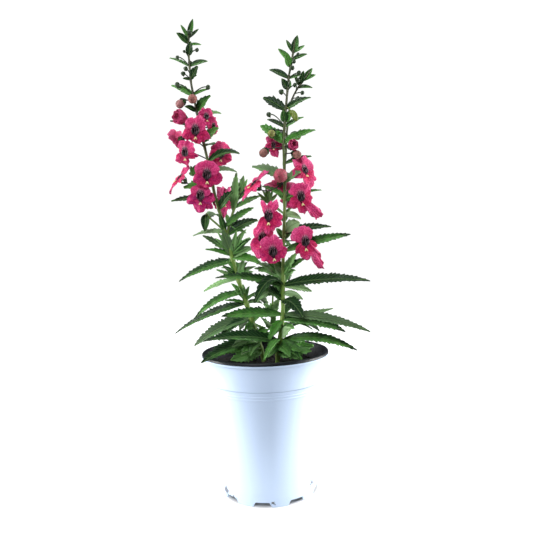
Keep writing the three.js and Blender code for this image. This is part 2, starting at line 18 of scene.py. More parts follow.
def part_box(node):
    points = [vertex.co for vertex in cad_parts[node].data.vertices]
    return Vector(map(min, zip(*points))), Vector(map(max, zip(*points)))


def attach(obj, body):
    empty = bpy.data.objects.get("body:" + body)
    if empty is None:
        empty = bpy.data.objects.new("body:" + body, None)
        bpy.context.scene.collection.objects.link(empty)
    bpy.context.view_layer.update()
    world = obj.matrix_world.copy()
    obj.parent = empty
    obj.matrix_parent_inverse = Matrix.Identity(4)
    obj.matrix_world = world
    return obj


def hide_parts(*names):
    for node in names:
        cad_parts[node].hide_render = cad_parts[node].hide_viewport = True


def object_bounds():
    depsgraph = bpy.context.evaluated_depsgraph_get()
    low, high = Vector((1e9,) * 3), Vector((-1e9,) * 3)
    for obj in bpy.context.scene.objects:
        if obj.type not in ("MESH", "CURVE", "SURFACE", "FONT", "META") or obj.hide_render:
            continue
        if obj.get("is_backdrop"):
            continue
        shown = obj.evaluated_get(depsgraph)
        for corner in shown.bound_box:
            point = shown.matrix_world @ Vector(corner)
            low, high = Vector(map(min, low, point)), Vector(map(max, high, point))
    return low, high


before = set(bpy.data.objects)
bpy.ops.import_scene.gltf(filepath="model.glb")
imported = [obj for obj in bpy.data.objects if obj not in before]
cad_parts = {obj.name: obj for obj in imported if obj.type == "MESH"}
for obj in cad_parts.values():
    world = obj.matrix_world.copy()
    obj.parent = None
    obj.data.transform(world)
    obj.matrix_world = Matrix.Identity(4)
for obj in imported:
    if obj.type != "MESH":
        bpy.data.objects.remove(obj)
cad_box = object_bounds()
print(len(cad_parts), "solids,", round(cad_box[1].z * 1000), "mm tall")

# %% [markdown]
# ## Measures
#
# The pot is a common 108 mm round one. Its height and rim are read from the frame; its wall,
# step and foot are the ones that the solid model has, because the pieces made here take the
# places of those solids.

# %% Measures in millimetres
pot_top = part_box("pot")[1]
POT_HEIGHT = round(pot_top.z * 1000)
RIM_RADIUS = round(pot_top.y * 1000)
RIM_LIP = 4.6
COLLAR_RADIUS = 51.6
STEP_HEIGHT = 94.8
BODY_RADIUS = 48.6
FOOT_RADIUS = 41.2
WALL = 1.5
FLOOR_UNDER = 4.6
FLOOR_TOP = 6.4
NOTCHES = 9
NOTCH_HEIGHT = 4.2
SOIL_TOP = 107
FIT = 0.3
STEM_FOOT = 86
CUP_DEPTH = 6.2
CUP_RADIUS = 2.2
UP = Vector((0, 0, 1))
print("the pot is", POT_HEIGHT, "mm high and", 2 * RIM_RADIUS, "mm across its rim")

# %% [markdown]
# ## Helpers
#
# One function turns a screen colour to the linear value that a shader wants. One adds a shader
# node with its settings and links. One closes a mesh, makes it an object and hides the solids
# that it stands for. A small fixed number maker keeps the natural variation the same each run.
#
# A Math node's list is its numbers in order. A Map Range node's list is the value, the two ends
# of the range that it comes from, and the two ends of the range that it goes to.

# %% Colour, nodes and chance
# The sockets of a Mix node that mixes colours: how much of the second one, the first, the second.
SHARE, UNDER, OVER = 0, 6, 7


def linear(hex_colour):
    """The linear red, green, blue and alpha of a screen colour."""
    channels = [int(hex_colour[i:i + 2], 16) / 255 for i in (1, 3, 5)]
    return tuple(c / 12.92 if c < 0.04045 else ((c + 0.055) / 1.055) ** 2.4 for c in channels) + (1,)


def wire(tree, source, socket):
    """Links a source to a socket. A whole node stands for the first output that it has in use."""
    if isinstance(source, bpy.types.Node):
        source = next(output for output in source.outputs if output.enabled)
    tree.links.new(source, socket)


def add(tree, kind, inputs=(), stops=(), **settings):
    """Adds a node: settings are its properties, stops the shares and colours of a colour ramp.

    inputs are numbers, hex colours, or the nodes and outputs to link: a list in the order of the
    node's sockets, or a dict by their names or numbers.
    """
    node = tree.nodes.new(kind)
    for name, value in settings.items():
        setattr(node, name, value)
    for socket, value in inputs.items() if isinstance(inputs, dict) else enumerate(inputs):
        if isinstance(value, (bpy.types.Node, bpy.types.NodeSocket)):
            wire(tree, value, node.inputs[socket])
        else:
            node.inputs[socket].default_value = linear(value) if isinstance(value, str) else value
    for place, (share, colour) in enumerate(stops):
        elements = node.color_ramp.elements
        element = elements[place] if place < 2 else elements.new(share)
        element.position = share
        element.color = linear(colour)
    return node


def every(size_mm):
    """The scale, to the nearest ten, that repeats a pattern on Object coordinates every size_mm."""
    return round(1000 / size_mm, -1)


class Chance:
    """Numbers that look random but are the same on each run, each worked out from the last."""

    FACTOR = 1664525
    STEP = 1013904223
    SPAN = 2 ** 32

    def __init__(self, seed):
        self.state = seed

    def draw(self, low=0.0, high=1.0):
        """The next number between low and high."""
        self.state = (self.state * self.FACTOR + self.STEP) % self.SPAN
        return low + (high - low) * self.state / self.SPAN


print("magenta in linear light:", [round(c, 3) for c in linear("#c42a5c")])

# %% Mesh to piece
def make_object(name, shape):
    """Turns a mesh in the making into an object of the scene."""
    mesh = bpy.data.meshes.new(name)
    shape.to_mesh(mesh)
    shape.free()
    made = bpy.data.objects.new(name, mesh)
    bpy.context.scene.collection.objects.link(made)
    return made


def hand_over(name, shape, finishes, slot, nodes, thickness=0):
    """Makes an object of a mesh drawn in millimetres, and hides the solids that it stands for.

    A sheet gets a thickness. Its other side then has the finish after its own in the list.
    """
    shape.transform(Matrix.Scale(0.001, 4))
    piece = make_object(name, shape)
    for finish in finishes:
        piece.data.materials.append(finish)
    if thickness:
        wall = piece.modifiers.new("thickness", "SOLIDIFY")
        wall.thickness = thickness / 1000
        wall.offset = -1
        wall.material_offset = 1
        wall.material_offset_rim = 0
    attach(piece, "root")
    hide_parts(*nodes)
    return piece


def new_shape():
    """An empty mesh whose points carry four numbers of the pattern's own, called its grain."""
    shape = bmesh.new()
    shape.verts.layers.float_color.new("grain")
    return shape


# %% Sheets, tubes and turned shapes
def wrap(shape, across, along, lay, finish=0):
    """Adds a sheet of across x along faces. lay(u, v) gives each point's place and its grain."""
    grain = shape.verts.layers.float_color["grain"]
    points = bmesh.ops.create_grid(shape, x_segments=across, y_segments=along, size=0.5)["verts"]
    for point in points:
        point.co, point[grain] = lay(point.co.x + 0.5, point.co.y + 0.5)
    dress(points, finish)
    return points


def dress(points, finish):
    """Gives the faces round these points a finish, and smooths them."""
    for face in {face for point in points for face in point.link_faces}:
        face.material_index = finish
        face.smooth = True


def close_tube(shape, points, within=0.01):
    """Merges the two long edges of a rolled sheet, and the ends that have shrunk to a point."""
    bmesh.ops.remove_doubles(shape, verts=points, dist=within)


def turn_round_axis(shape, outline, steps):
    """Spins an outline of (radius, height) once round the pot's axis."""
    line = [shape.verts.new((radius, 0, z)) for radius, z in outline]
    edges = [shape.edges.new(pair) for pair in zip(line, line[1:])]
    bmesh.ops.spin(shape, geom=line + edges, axis=UP, cent=(0, 0, 0), angle=math.tau, steps=steps,
                   use_merge=True)
    bmesh.ops.remove_doubles(shape, verts=shape.verts, dist=0.01)


def bow(start, middle, end, t):
    """Place and heading at the share t of a curve with one bend."""
    place = start * (1 - t) ** 2 + middle * (2 * t * (1 - t)) + end * t ** 2
    heading = (middle - start) * (1 - t) + (end - middle) * t
    return place, heading.normalized()


def ring(heading, hint):
    """Two directions across a heading, so that a tube drawn round them faces outwards."""
    side = heading.cross(hint).normalized()
    return side, heading.cross(side)


def direction(azimuth, elevation):
    """A heading from its angles in degrees: round from +X, and up from level."""
    a, e = math.radians(azimuth), math.radians(elevation)
    return Vector((math.cos(a) * math.cos(e), math.sin(a) * math.cos(e), math.sin(e)))


print("270 degrees round is the front:", [round(c, 2) for c in direction(270, 0)])

# %% [markdown]
# ## The plant's tables
#
# Each stem is a centre line: places from its foot up, each with the stem's radius there. Each
# leaf is a row: the height at which it leaves the stem, its tip, its width, how high its middle
# is lifted, and how far its face tips toward the front. They are the same rows as in the solid
# model. A leaf's last number, where it has one, is only for its finish: how pale it is, or how
# much darker than the others where it is below 0.

# %% Stems
LEFT_STEM = [
    [-1, 5, STEM_FOOT, 2.1],
    [-1, 5, 108, 2.1],
    [-7, 6, 131, 2.0],
    [-14, 6, 155, 1.9],
    [-21, 6, 178, 1.75],
    [-27, 6, 203, 1.6],
    [-34, 6, 232, 1.4],
    [-39, 6, 252, 1.3],
    [-44, 6, 282, 1.15],
    [-51, 6, 318, 1.0],
    [-56, 6, 349, 0.9],
    [-57, 6, 374, 0.8],
    [-56, 6, 390, 0.7],
    [-54, 6, 398, 0.6],
]

RIGHT_STEM = [
    [10, -5, STEM_FOOT, 1.9],
    [10, -5, 108, 1.9],
    [13, -6, 128, 1.8],
    [16, -7, 150, 1.6],
    [17, -8, 177, 1.5],
    [18, -8, 205, 1.4],
    [20, -8, 233, 1.3],
    [21, -8, 261, 1.2],
    [21, -8, 295, 1.1],
    [24, -8, 323, 0.95],
    [27, -8, 347, 0.85],
    [31, -8, 365, 0.75],
    [33, -8, 377, 0.6],
]

LEFT_BRANCH = [
    [-30, 6, 216, 1.1],
    [-27, 9, 230, 1.0],
    [-23, 10, 240, 0.9],
    [-18, 11, 252, 0.8],
    [-13, 11, 264, 0.7],
]

LEFT_SPRIG = [
    [-32, 6, 222, 0.8],
    [-41, 3, 230, 0.8],
    [-48, 2, 237, 0.7],
]

RIGHT_SHOOT = [
    [10.4, -5, 111, 0.9],
    [7, 1, 119, 0.9],
    [5, 5, 129, 0.9],
    [7, 6, 150, 0.8],
    [9, 6, 172, 0.7],
]

RIGHT_BRANCH = [
    [21, -8, 272, 0.9],
    [23, -1, 284, 0.9],
    [24, 4, 300, 0.9],
    [28, 6, 328, 0.8],
    [34, 6, 340, 0.7],
    [41, 6, 348, 0.7],
    [47, 6, 356, 0.6],
]

print("the left stem has", len(LEFT_STEM), "places, the right one", len(RIGHT_STEM))

# %% Leaves: height on the stem, tip, width, lift, lean, and paleness
LEFT_LEAVES = [
    [119, [-19, -26, 120], 8, 3, 0.9, 0.35],
    [126, [-26, -22, 126], 9, 4, 0.9, 0.45],
    [127, [-51, -34, 116], 13, 5.4, 0.6, -0.5],
    [128, [-24, 48, 128], 10, 20, -0.4],
    [143, [-41, 14, 125], 9, 10.3, 0.5],
    [145, [-65, 30, 118], 13, 9.3, 0.5, 0.12],
    [158, [-83, 36, 129], 9.5, 8.2, 0.6, -0.3],
    [158, [-1, 12, 157], 4, 4, 1, 0.1],
    [159, [-33, 0, 162], 4, 0.5, 0.5],
    [160, [4, 46, 150], 9, 16, -0.3],
    [165, [-27, 2, 176], 4, 1, 1.4],
    [167, [-62, 18, 145], 8, 11, 0.7, -0.25],
    [178, [-40, 8, 188], 3.5, 2, 1.2, 0.45],
    [179, [-54, 26, 168], 8, 3.3, 0.5, 0.5],
    [179, [-16, 0, 197], 5, 0, 1.8, 0.45],
    [179, [-10, 4, 190], 6, 2, 1.4, 0.3],
    [180, [-34, 0, 192], 4, 1, 1.5],
    [183, [-22, 50, 186], 10, 16, -0.3],
    [195, [-75, 20, 178], 10.5, 6.5, 0.7, -0.6],
    [196, [-1, 34, 190], 9, 12, 0],
    [198, [-3, -10, 193], 9, 4, 1.2],
    [198, [-8, -4, 205], 6, 3, 1.4, 0.45],
    [199, [-9, -2, 214], 5, 2, 1.2],
    [200, [-33, 1, 222], 8, 0, 3, 0.2],
    [200, [-48, 0, 206], 5, 2, 1.2],
    [203, [-51, 8, 218], 5, 2, 1.4, 0.1],
    [217, [-3, 12, 230], 9.5, 5, 1],
    [220, [-60, 12, 218], 6, 4, 1, 0.55],
    [220, [-35, -1, 236], 5, 0, 2.5],
    [224, [-6, 12, 241], 6, 4, 1],
    [232, [-52, 40, 232], 8, 10, -0.3],
    [240, [-23, -2, 254], 8, 3, 1.4],
    [246, [-78, 14, 249], 6, 6, 0.9],
    [261, [-65, 2, 259], 8, 2, 2],
    [272, [-19, 4, 271], 6, 5, 1.2, 0.3],
    [281, [-16, -6, 285], 8, 8, 1.6],
    [294, [-34, 34, 296], 7, 6, -0.3],
    [298, [-33, -5, 307], 8, 2, 2],
    [308, [-76, 12, 318], 5, 3, 1.2],
    [317, [-31, 8, 322], 6, 5, 1.4, 0.35],
    [324, [-39, 0, 335], 9, 2, 2],
    [324, [-61, 0, 327], 5, 1, 2],
    [337, [-73, 8, 347], 8, 2, 1.6],
    [338, [-41, 4, 342], 4, 1, 1.4],
    [351, [-49, 0, 360], 8, 1, 2.4],
    [351, [-62, 2, 351], 4, 0, 2],
    [362, [-74, 10, 371], 4, 2, 1.2],
    [362, [-41, 6, 366], 6.5, 2, 1.6],
    [371, [-54, -2, 380], 7.5, 0, 3],
    [380, [-46, 6, 380], 4, 1, 1.4],
    [381, [-66, 2, 389], 7, 1, 2],
    [386, [-63, 8, 398], 3.5, 0, 2],
    [386, [-48, 8, 394], 3.5, 0, 2],
    [387, [-52, 2, 400], 5.5, 0, 3],
]

LEFT_BRANCH_LEAVES = [
    [225, [-17, 22, 229], 6, 3, 1],
    [238, [-20, 9, 271], 7, 0, 2.5, 0.3],
    [241, [0, 12, 251], 5, 2, 1.2, 0.1],
    [248, [-4, 8, 262], 4, 1, 1.4],
    [251, [-14, 12, 269], 5, 0, 2, 0.25],
]

LEFT_SPRIG_LEAVES = [
    [236, [-48, 0, 221], 7, 2, 1.5],
]

RIGHT_LEAVES = [
    [118, [28, -26, 115], 8, 8, 0.5],
    [126, [-48, -38, 134], 11, 8.2, 0.7, -0.35],
    [126, [77, -14, 118], 8, 13.9, 0.6, -0.3],
    [128, [-1, -46, 119], 5, 8, 0.6],
    [128, [50, 30, 128], 10, 20, -0.2],
    [130, [22, -14, 138], 8, 2, 1.6, 0.95],
    [138, [39, -28, 139], 4, 8.8, 0.6],
    [144, [4, -22, 131], 6.5, 4.6, 0.5],
    [145, [64, -38, 138], 11.5, 6.4, 0.5],
    [146, [34, 44, 142], 10, 18, -0.3],
    [148, [59, -6, 153], 5.5, -3.1, 0.9, 0.5],
    [149, [-34, -28, 152], 9, 3.8, 0.6, -0.3],
    [149, [83, -42, 138], 8.5, 7.4, 0.6, 0.2],
    [161, [31, -34, 150], 11, 8.7, 0.5, -0.4],
    [161, [-6, -12, 178], 8.5, 3, 0.9],
    [167, [33, -14, 162], 6, 3, 1.3, 0.7],
    [173, [-38, -26, 183], 9, 6.9, 0.7, -0.45],
    [173, [42, 2, 167], 6, 3, 1.3, 0.6],
    [174, [83, -46, 178], 11, 6, 0.7, -0.3],
    [174, [-7, -30, 162], 10, 21.2, 0.4, -0.3],
    [174, [24, 42, 174], 10, 16, -0.3],
    [178, [-5, 8, 192], 8.5, 6.8, 0.8, 0.3],
    [179, [10, -6, 194], 5, 0, 2, 0.5],
    [182, [29, -14, 201], 6, 2, 1.6, 0.15],
    [185, [36, -12, 196], 6, 2, 1.4],
    [188, [-3, 4, 200], 7, 5, 0.9],
    [202, [76, 0, 215], 8, 4, 0.8, -0.3],
    [204, [-2, 2, 219], 7, 5, 0.9],
    [205, [46, 26, 196], 8, 12, 0],
    [217, [60, 2, 222], 8, 4, 0.9, -0.3],
    [218, [33, -2, 226], 10, 3, 1.6, 0.8],
    [232, [34, -4, 229], 6, 4, 1.6, 0.75],
    [244, [52, -2, 253], 6, 4, 1],
    [248, [2, 0, 258], 5, 2, 1.4],
    [260, [34, -16, 267], 8, 2, 1.6, 0.35],
    [263, [-6, -4, 274], 11.6, 3, 1.2, 0.3],
    [275, [45, 6, 283], 4.5, 2, 1.2],
    [292, [2, -4, 308], 9, 3, 1.4],
    [292, [48, -4, 303], 8, 3, 1.4],
    [305, [8, 0, 314], 4.5, 2, 1.2],
    [305, [39, 0, 315], 4.5, 2, 1.2],
    [309, [21, -14, 318], 6, 0, 3],
    [309, [27, -11, 318], 6, 0, 3],
    [319, [5, -4, 331], 8, 2, 1.8],
    [320, [45, -4, 330], 7, 3, 1.4],
    [336, [21, -12, 344], 7, 0, 2.5],
    [336, [28, -4, 345], 5, 0, 2.5],
    [345, [11, -4, 354], 7, 2, 1.6],
    [345, [37, -6, 348], 4, 1, 1.4],
    [354, [25, -12, 364], 7.5, 0, 3],
    [358, [19, -4, 371], 6, 1, 2],
    [360, [43, -4, 366], 5, 1, 1.6],
    [365, [35, -8, 380], 7, 0, 2.5],
    [366, [26, -4, 378], 4, 0, 2],
    [366, [41, -4, 373], 4, 0, 2],
]

RIGHT_BRANCH_LEAVES = [
    [300, [10, 16, 308], 6, 3, 0.4],
    [341, [48, 10, 342], 5, 2, 1.4],
    [343, [33, 8, 352], 4, 0, 2],
    [344, [40, 2, 354], 5.5, 0, 2.5],
    [347, [48, 8, 358], 6, 0, 2],
    [347, [51, 10, 353], 5, 1, 1.6],
]

RIGHT_SHOOT_LEAVES = [
    [126, [-8, 14, 139], 4, 3, 1, 0.45],
    [128, [18, 12, 137], 4, 3, 1, 0.45],
    [148, [0, -3, 158], 5, 2, 1.6, 0.45],
    [150, [14, 16, 160], 5, 2, 1.2, 0.45],
    [170, [-6, -4, 160], 9, 6, 0.9, 0.45],
    [171, [15, 2, 182], 6, 2, 1.2, 0.45],
]

print(len(LEFT_LEAVES) + len(LEFT_BRANCH_LEAVES) + len(LEFT_SPRIG_LEAVES), "left leaves,",
      len(RIGHT_LEAVES) + len(RIGHT_BRANCH_LEAVES) + len(RIGHT_SHOOT_LEAVES), "right leaves")

# %% Green buds: height on the stem, place, radius, and how much longer than round
LEFT_BUDS = [
    [337, [-67.1, 4, 346.9], 2.6],
    [339, [-41.2, 3, 343.3], 2.3],
    [351, [-61.8, 2, 355.4], 2.2],
    [356, [-59.2, 0, 358.8], 2],
    [362, [-65.9, 2, 368.8], 1.9],
    [362, [-57, 14, 368.3], 1.9],
    [369, [-60.2, 2, 373.6], 1.3],
    [371, [-49.2, 2, 374.5], 1.8],
    [381, [-54.8, 1, 389.2], 2.3],
]

RIGHT_BUDS = [
    [306, [9.6, -8, 316.4], 2.5],
    [322, [30.8, -14, 313.9], 2.6, 2.4],
    [330, [20, -13, 333.5], 2.3],
    [335, [31.6, -12, 338.7], 1.9],
    [345, [35.3, -10, 348.9], 2.1],
    [348, [29.9, -13, 352.6], 1.9],
    [355, [31.3, -14, 357.1], 1.7],
    [358, [34.8, -12, 363.3], 1.6],
]

RIGHT_BRANCH_BUDS = [
    [332, [34.8, 3, 331.7], 1.9],
    [336, [38.9, 5, 336.7], 1.9],
    [339, [35.2, 2, 347.3], 1.9],
]

print(len(LEFT_BUDS) + len(RIGHT_BUDS) + len(RIGHT_BRANCH_BUDS), "green buds")

# %% Flowers and coloured buds
# Flowers: name, stem, height of the stalk's root, throat, azimuth, elevation, spin, size, tone, hanging.
# Buds: name, stem, height of the stalk's root, place, azimuth, elevation, radius, colour.
# Azimuth, elevation and spin are in degrees; a high tone is a purpler flower. Hanging says that
# one more long petal hangs from it. A few flowers face a little differently than the solids do.
BLOOMS = [
    ["left_top", LEFT_STEM, 316, [-42.5, -5, 316.7], 295, 10, 0, 0.6, 0.5, False],
    ["left_2", LEFT_STEM, 309, [-38, 6, 311.1], 325, 0, 5, 0.6, 0.35, False],
    ["left_3", LEFT_STEM, 302, [-51.7, -9, 304.6], 262, -6, 0, 0.95, 0.4, False],
    ["left_4", LEFT_STEM, 293, [-68.7, 5, 298.3], 150, -22, -8, 0.74, 0.3, False],
    ["left_5", LEFT_STEM, 283, [-61, -9, 286.8], 244, -8, 0, 0.86, 0.5, False],
    ["left_6", LEFT_STEM, 277, [-32.6, 9, 287.7], 295, -8, 6, 0.84, 0.4, False],
    ["left_7", LEFT_STEM, 266, [-43.1, -13, 267.2], 272, -4, 0, 0.96, 0.6, False],
    ["left_8", LEFT_STEM, 262, [-68.4, 4, 268.4], 210, 38, 0, 0.84, 0.2, False],
    ["left_9", LEFT_STEM, 247, [-49.9, -6, 250.8], 258, -2, 0, 0.95, 0.8, False],
    ["left_10", LEFT_STEM, 232, [-31.1, 16, 247.8], 322, -10, 0, 0.66, 0.6, False],
    ["left_11", LEFT_STEM, 294, [-55.9, 22, 311.6], 95, -5, 0, 0.8, 0.4, False],
    ["right_top", RIGHT_STEM, 287, [12.8, 4, 293], 246, -14, 0, 0.52, 0.25, False],
    ["right_2", RIGHT_STEM, 243, [33.7, -15, 246.5], 290, -8, -12, 0.92, 0.3, True],
    ["right_3", RIGHT_STEM, 232, [6.4, -28, 231.1], 262, 0, 0, 0.94, 0.3, False],
    ["right_4", RIGHT_STEM, 214, [1, -18, 213.5], 256, -4, 6, 0.94, 0.5, False],
    ["right_5", RIGHT_STEM, 200, [9.1, -25, 202.2], 276, -8, -8, 0.94, 0.55, False],
    ["right_6", RIGHT_STEM, 211, [36.1, -17, 209.5], 288, -6, -2, 0.94, 0.2, True],
    ["right_7", RIGHT_STEM, 254, [17.7, 5, 258.2], 95, -30, 0, 0.62, 0.15, False],
    ["right_8", RIGHT_STEM, 260, [-4.6, -12, 259.5], 210, 42, 0, 0.9, 0.1, False],
    ["right_9", RIGHT_STEM, 268, [38.1, -8, 269.4], 306, 16, 0, 0.84, 0.15, False],
    ["right_10", RIGHT_STEM, 232, [26.7, 12, 247.3], 75, -10, 0, 0.7, 0.25, False],
]

BUDS = [
    ["left_opening", LEFT_STEM, 318, [-66.3, 0, 318.2], 230, 5, 6.2, "#e63e6c"],
    ["left_high", LEFT_STEM, 331, [-65.3, 2, 329.6], 215, -40, 3.6, "#b9787a"],
    ["left_dusty", LEFT_STEM, 334, [-53.9, -3, 332.1], 265, -20, 3.9, "#ab645e"],
    ["right_cup", RIGHT_STEM, 290, [28.8, -15, 289.4], 300, 10, 4.6, "#da4a78"],
    ["right_round", RIGHT_STEM, 266, [17.2, -19, 264.1], 262, -15, 5.8, "#c2425f"],
    ["right_brown_left", RIGHT_STEM, 288, [4, -11, 284], 230, -35, 3.6, "#a36c62"],
    ["right_brown_right", RIGHT_STEM, 283, [31.6, -12, 281.7], 310, -20, 3.5, "#b57a6e"],
    ["right_yellow_left", RIGHT_STEM, 302, [11, -16, 298.7], 240, -35, 3.1, "#8b9a3c"],
    ["right_yellow_right", RIGHT_BRANCH, 299, [32.8, 0, 299.2], 320, -25, 3.4, "#8b9a3c"],
]

print(len(BLOOMS), "flowers and", len(BUDS), "coloured buds")

# %% [markdown]
# ## Finishes
#
# The pot is thermoformed polystyrene sheet, white outside and black inside, satin, with peat
# dust on its rim and splashes at its foot. Leaves are waxy above, with a pale midrib and side
# veins, and paler and duller below. Petals are velvety, with a dark throat and fine veins.
#
# Patterns could be painted pictures, but here they are worked out from the piece's own
# measures: every leaf point carries its distance from the midrib and from the leaf's root, and
# every petal point its turn and its distance from the throat. Distances are in millimetres, so
# a noise of scale 0.5 on them repeats every 2 mm.

# %% A finish to fill in
def new_finish(name, roughness, ior=1.45):
    """A material to fill in, with its node tree and its shader."""
    finish = bpy.data.materials.new(name)
    finish.use_nodes = True
    tree = finish.node_tree
    shader = tree.nodes["Principled BSDF"]
    shader.inputs["Roughness"].default_value = roughness
    shader.inputs["IOR"].default_value = ior
    return finish, tree, shader


def surface(tree, shader, colour, height, depth_mm):
    """Paints the surface with a colour pattern, and raises it by a height pattern of that depth."""
    wire(tree, colour, shader.inputs["Base Color"])
    bump = add(tree, "ShaderNodeBump", {"Height": height, "Distance": depth_mm / 1000})
    wire(tree, bump, shader.inputs["Normal"])


print("a pattern that repeats every 3 mm has a scale of", every(3))

# %% Pot plastic, white outside and black inside
# Thermoformed polystyrene: smooth satin with the faint orange peel of the cooled sheet. The peel
# is about 1 mm, drawn at 3 mm so that it shows. Splashes of wet mix dry to brown specks of 1 to
# 3 mm at the white foot, and dry peat lies as grey dust on the black rim. Each splash is given
# by its middle, its reach, both in millimetres, and how densely it is specked.
PEEL = 3
SPECK = 2.4


def pot_plastic(name, base, dust, roughness, splashes):
    """Satin plastic of the base colour, specked with the dust colour at each splash."""
    finish, tree, shader = new_finish(name, roughness, 1.59)
    where = add(tree, "ShaderNodeTexCoord").outputs["Object"]
    peel = add(tree, "ShaderNodeTexNoise", {"Vector": where, "Scale": every(PEEL), "Detail": 2.0})
    specks = add(tree, "ShaderNodeTexNoise",
                 {"Vector": where, "Scale": every(SPECK), "Detail": 5.0, "Roughness": 0.7})
    dirty = 0.0
    for spot, reach, share in splashes:
        off = add(tree, "ShaderNodeVectorMath", [where, Vector(spot) / 1000], operation="DISTANCE")
        near = add(tree, "ShaderNodeMapRange", [off, reach / 1000, 0.0, 0.0, share])
        dirty = add(tree, "ShaderNodeMath", [near, dirty], operation="MAXIMUM")
    level = add(tree, "ShaderNodeMath", [specks, dirty], operation="ADD")
    mask = add(tree, "ShaderNodeMapRange", [level, 0.78, 0.84, 0.0, 0.9])
    colour = add(tree, "ShaderNodeMix", {SHARE: mask, UNDER: base, OVER: dust}, data_type="RGBA")
    surface(tree, shader, colour, peel, 0.05)
    return finish


FOOT_SPLASHES = [
    ((-35, -22, 7), 9, 0.46),
    ((-29, -29, 2), 8, 0.52),
    ((34, -23, 11), 8, 0.4),
    ((3, -41, 4), 7, 0.3),
    ((20, 37, 12), 14, 0.36),
]
RIM_DUST = [
    ((46, 16, 116), 34, 0.36),
    ((-44, 20, 114), 30, 0.32),
    ((0, 48, 112), 30, 0.32),
    ((30, -44, 118), 24, 0.3),
]
# The white's base colour is a pale blue-grey: partly the plastic's own cool white, partly painted cool
# shade of the pot's front.
pot_white = pot_plastic("thermoformed polystyrene, white", "#bbcce2", "#2a150c", 0.4, FOOT_SPLASHES)
pot_black = pot_plastic("thermoformed polystyrene, black", "#101216", "#33353b", 0.42, RIM_DUST)
pot_black.node_tree.nodes["Principled BSDF"].inputs["Specular IOR Level"].default_value = 0.16
print(len(FOOT_SPLASHES), "splashes on the foot and", len(RIM_DUST), "dusty places on the rim")

# %% Potting mix
# Sieved peat with bark: dull, lumpy, nearly black where it is wet. Crumbs are 1 to 4 mm.
CRUMB = 2.4
mix_peat, tree, shader = new_finish("peat potting mix, moist", 0.93)
where = add(tree, "ShaderNodeTexCoord").outputs["Object"]
lumps = add(tree, "ShaderNodeTexNoise",
            {"Vector": where, "Scale": every(CRUMB), "Detail": 8.0, "Roughness": 0.75})
tint = add(tree, "ShaderNodeValToRGB", [lumps],
           stops=[(0.3, "#090706"), (0.75, "#4a3d31"), (0.5, "#191412"), (0.62, "#2a221c")])
surface(tree, shader, tint, lumps, 0.8)
print(mix_peat.name, "has lumps of", CRUMB, "mm")

# %% Leaf skin, upper and under side
# A waxy living leaf. Side veins leave the midrib every 4 mm and run forward; fine meshes of
# about 1 mm lie between them. Some leaves are deep green and others fresh, and clouds of 6 mm
# vary both. The pale ones are young or far back, and are faded by the leaf's own paleness.
VEIN_SPACING = 4.0
VEIN_FORWARD = 1.5


def leaf_skin(name, deep, fresh, vein, pale, roughness, vein_share, vein_depth):
    """One side of a leaf. Its veins are sunk, or raised where vein_depth is negative."""
    finish, tree, shader = new_finish(name, roughness, 1.42)
    shader.inputs["Specular IOR Level"].default_value = 0.3
    attribute = add(tree, "ShaderNodeAttribute", attribute_name="grain")
    grain, paleness = attribute.outputs["Vector"], attribute.outputs["Alpha"]
    side, along, tone = add(tree, "ShaderNodeSeparateXYZ", [grain]).outputs
    off = add(tree, "ShaderNodeMath", [side], operation="ABSOLUTE")
    slant = add(tree, "ShaderNodeMath", [off, -VEIN_FORWARD, along], operation="MULTIPLY_ADD")
    turn = add(tree, "ShaderNodeMath", [slant, VEIN_SPACING / 2], operation="PINGPONG")
    lateral = add(tree, "ShaderNodeMapRange", [turn, 0.0, 0.45, 0.6, 0.0])
    midrib = add(tree, "ShaderNodeMapRange", [off, 0.15, 0.6, 1.0, 0.0])
    veins = add(tree, "ShaderNodeMath", [lateral, midrib], operation="MAXIMUM")
    mesh = add(tree, "ShaderNodeTexVoronoi", {"Vector": grain, "Scale": 0.9}, feature="DISTANCE_TO_EDGE")
    cloud = add(tree, "ShaderNodeTexNoise", {"Vector": grain, "Scale": 0.16, "Detail": 3.0})
    blend = add(tree, "ShaderNodeMath", [cloud, tone], operation="MULTIPLY")
    share = add(tree, "ShaderNodeMapRange", [blend, 0.16, 0.52, 0.0, 1.0])
    skin = add(tree, "ShaderNodeMix", {SHARE: share, UNDER: deep, OVER: fresh}, data_type="RGBA")
    # the paleness and the tone also carry painted light: the half of a blade nearer the front is painted
    # greyer and fresher
    faded = add(tree, "ShaderNodeMix", {SHARE: paleness, UNDER: skin, OVER: pale}, data_type="RGBA")
    faint = add(tree, "ShaderNodeMath", [veins, vein_share], operation="MULTIPLY")
    colour = add(tree, "ShaderNodeMix", {SHARE: faint, UNDER: faded, OVER: vein}, data_type="RGBA")
    puff = add(tree, "ShaderNodeMath", [mesh, 0.3], operation="MULTIPLY")
    height = add(tree, "ShaderNodeMath", [puff, veins], operation="SUBTRACT" if vein_depth > 0 else "ADD")
    surface(tree, shader, colour, height, abs(vein_depth))
    return finish


leaf_upper = leaf_skin("leaf blade, waxy upper side", "#0b2f0d", "#4c8a32", "#8fb869", "#a3c68c",
                       roughness=0.42, vein_share=0.3, vein_depth=0.6)
leaf_under = leaf_skin("leaf blade, matt under side", "#3f5a34", "#66805a", "#8ba277", "#9dba86",
                       roughness=0.62, vein_share=0.5, vein_depth=-0.4)
print("side veins every", VEIN_SPACING, "mm")

